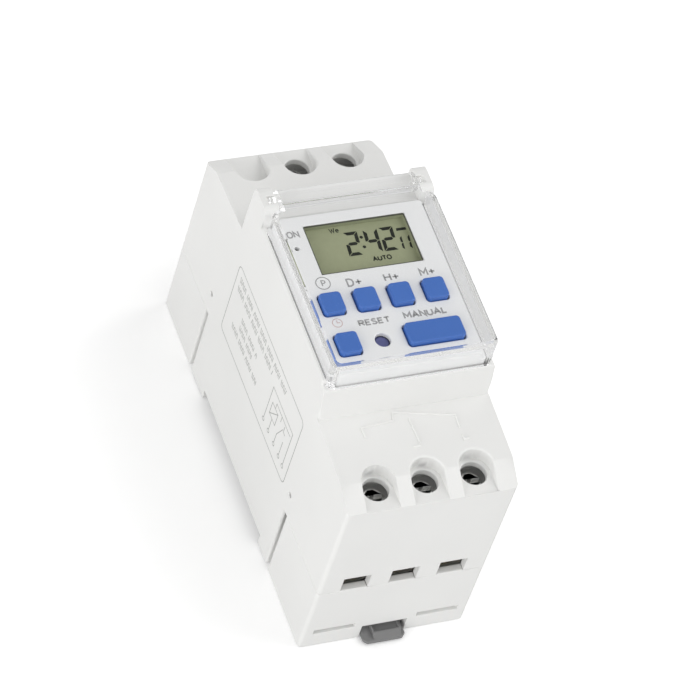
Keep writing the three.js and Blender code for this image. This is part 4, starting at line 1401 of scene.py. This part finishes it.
def floor_paper(settings):
    """White paper: it keeps the shadow, and where it is looked at it glows up to white, less near the
    switch, which paints a shadow round it.
    """
    material = bpy.data.materials.new("studio_paper")
    material.use_nodes = True
    tree = material.node_tree
    tree.nodes.clear()
    fibre = noise(tree, scale=30.0)
    base = shades(tree, fibre, (0.3, tone(settings.floor_colour, 0.995)), (0.7, settings.floor_colour))
    plain = add_node(tree, "ShaderNodeBsdfDiffuse", Color=base)
    seen = add_node(tree, "ShaderNodeBsdfDiffuse", Color=WHITE)
    spread = vector_maths(tree, "MULTIPLY", place_of(tree), PAINTED_SHADOW_STRETCH)
    away = vector_maths(tree, "LENGTH", spread.outputs[0]).outputs["Value"]
    # Lower glow near the switch: a painted shadow on the paper
    rise = map_range(tree, away, PAINTED_SHADOW_RADII, PAINTED_SHADOW_GLOW, "SMOOTHSTEP")
    glow = add_node(tree, "ShaderNodeEmission", Color=WHITE, Strength=rise)
    both = tree.nodes.new("ShaderNodeAddShader")
    tree.links.new(seen.outputs[0], both.inputs[0])
    tree.links.new(glow.outputs[0], both.inputs[1])
    surface = mix_shaders(tree, seen_ray(tree), plain, both)
    add_node(tree, "ShaderNodeOutputMaterial", Surface=surface)
    return material


def lay_floor(settings):
    paper = bmesh.new()
    bmesh.ops.create_grid(paper, x_segments=4, y_segments=4, size=FLOOR_HALF)
    bmesh.ops.translate(paper, vec=(0, 0, -FLOOR_DROP), verts=paper.verts)
    mesh = bpy.data.meshes.new("studio_floor")
    paper.to_mesh(mesh)
    paper.free()
    mesh.materials.append(floor_paper(settings))
    floor = bpy.data.objects.new("studio_floor", mesh)
    bpy.context.collection.objects.link(floor)


def light_tent(settings):
    """A world that is white where it is looked at, and lights the switch evenly but for its dark part."""
    world = bpy.data.worlds.new("light_tent")
    world.use_nodes = True
    tree = world.node_tree
    way = tree.nodes.new("ShaderNodeTexCoord").outputs["Generated"]
    height = add_node(tree, "ShaderNodeSeparateXYZ", Vector=way).outputs["Z"]
    overhead = between(tree, height, TENT_SIDE, TENT_TOP)
    toward = vector_maths(tree, "DOT_PRODUCT", way, Vector(FLAG_WAY).normalized()).outputs["Value"]
    edges = (math.cos(settings.flag_edge), math.cos(settings.flag_core))
    levels = (settings.tent_strength, settings.flag_strength)
    flag = map_range(tree, toward, edges, levels, "SMOOTHSTEP")
    light = maths(tree, "MULTIPLY", flag, overhead)
    strength = add_node(tree, "ShaderNodeMix", Factor=seen_ray(tree), A=light, B=1.0)
    set_inputs(tree, tree.nodes["Background"], Color=WHITE, Strength=strength.outputs["Result"])
    return world


def add_camera(settings):
    lens = bpy.data.cameras.new("studio_camera")
    lens.lens = settings.lens
    lens.sensor_width = SENSOR_WIDTH
    lens.clip_end = SEEN_TO
    camera = bpy.data.objects.new("studio_camera", lens)
    camera.location = settings.camera_place
    camera.rotation_euler = settings.camera_turn
    bpy.context.collection.objects.link(camera)
    return camera


def add_lamp(name, place, size, power):
    """A square lamp that faces the switch."""
    lamp = bpy.data.lights.new(name, "AREA")
    lamp.shape = "SQUARE"
    lamp.size = size
    lamp.energy = power
    holder = bpy.data.objects.new(name, lamp)
    holder.location = place
    holder.rotation_euler = (Vector(TARGET) - Vector(place)).to_track_quat("-Z", "Y").to_euler()
    bpy.context.collection.objects.link(holder)


class TIMER_OT_studio(Operator):
    """Sets the camera, the paper floor, the light tent and two soft lamps"""

    bl_idname = "timer.studio"
    bl_label = "Studio"

    def execute(self, context):
        settings = context.scene.timer_switch.studio
        context.scene.camera = add_camera(settings)
        context.scene.view_settings.view_transform = "Standard"
        lay_floor(settings)
        context.scene.world = light_tent(settings)
        add_lamp("key_lamp", KEY_PLACE, KEY_SIZE, settings.key_power)
        add_lamp("fill_lamp", FILL_PLACE, FILL_SIZE, settings.fill_power)
        return {"FINISHED"}


class TIMER_PT_panel(Panel):
    """Lists the steps that dress the timer switch"""

    bl_idname = "TIMER_PT_panel"
    bl_label = "Timer Switch"
    bl_space_type = "VIEW_3D"
    bl_region_type = "UI"
    bl_category = "Timer Switch"

    def draw(self, context):
        settings = context.scene.timer_switch
        for group in ("case", "marks", "keys", "display", "cover", "fittings", "studio"):
            box = self.layout.box()
            values = getattr(settings, group)
            box.label(text=group.title())
            for name in values.__annotations__:
                box.prop(values, name)
        for operator in OPERATORS:
            self.layout.operator(operator.bl_idname)


SETTINGS = (
    CaseSettings,
    PrintSettings,
    KeySettings,
    DisplaySettings,
    CoverSettings,
    FittingSettings,
    StudioSettings,
    TimerSwitchSettings,
)
OPERATORS = (
    TIMER_OT_studio,
    TIMER_OT_housings,
    TIMER_OT_raised_diagram,
    TIMER_OT_side_print,
    TIMER_OT_front_panel,
    TIMER_OT_keys,
    TIMER_OT_display,
    TIMER_OT_cover,
    TIMER_OT_rail_clip,
    TIMER_OT_terminals,
    TIMER_OT_inside,
)
CLASSES = (*SETTINGS, *OPERATORS, TIMER_PT_panel)


def register():
    for item in CLASSES:
        bpy.utils.register_class(item)
    bpy.types.Scene.timer_switch = PointerProperty(type=TimerSwitchSettings)


def unregister():
    del bpy.types.Scene.timer_switch
    for item in reversed(CLASSES):
        bpy.utils.unregister_class(item)


def main():
    register()
    bpy.ops.timer.studio()
    bpy.ops.timer.housings()
    bpy.ops.timer.raised_diagram()
    bpy.ops.timer.side_print()
    bpy.ops.timer.front_panel()
    bpy.ops.timer.keys()
    bpy.ops.timer.display()
    bpy.ops.timer.cover()
    bpy.ops.timer.rail_clip()
    bpy.ops.timer.terminals()
    bpy.ops.timer.inside()
    bpy.context.view_layer.update()


if __name__ == "__main__":
    main()
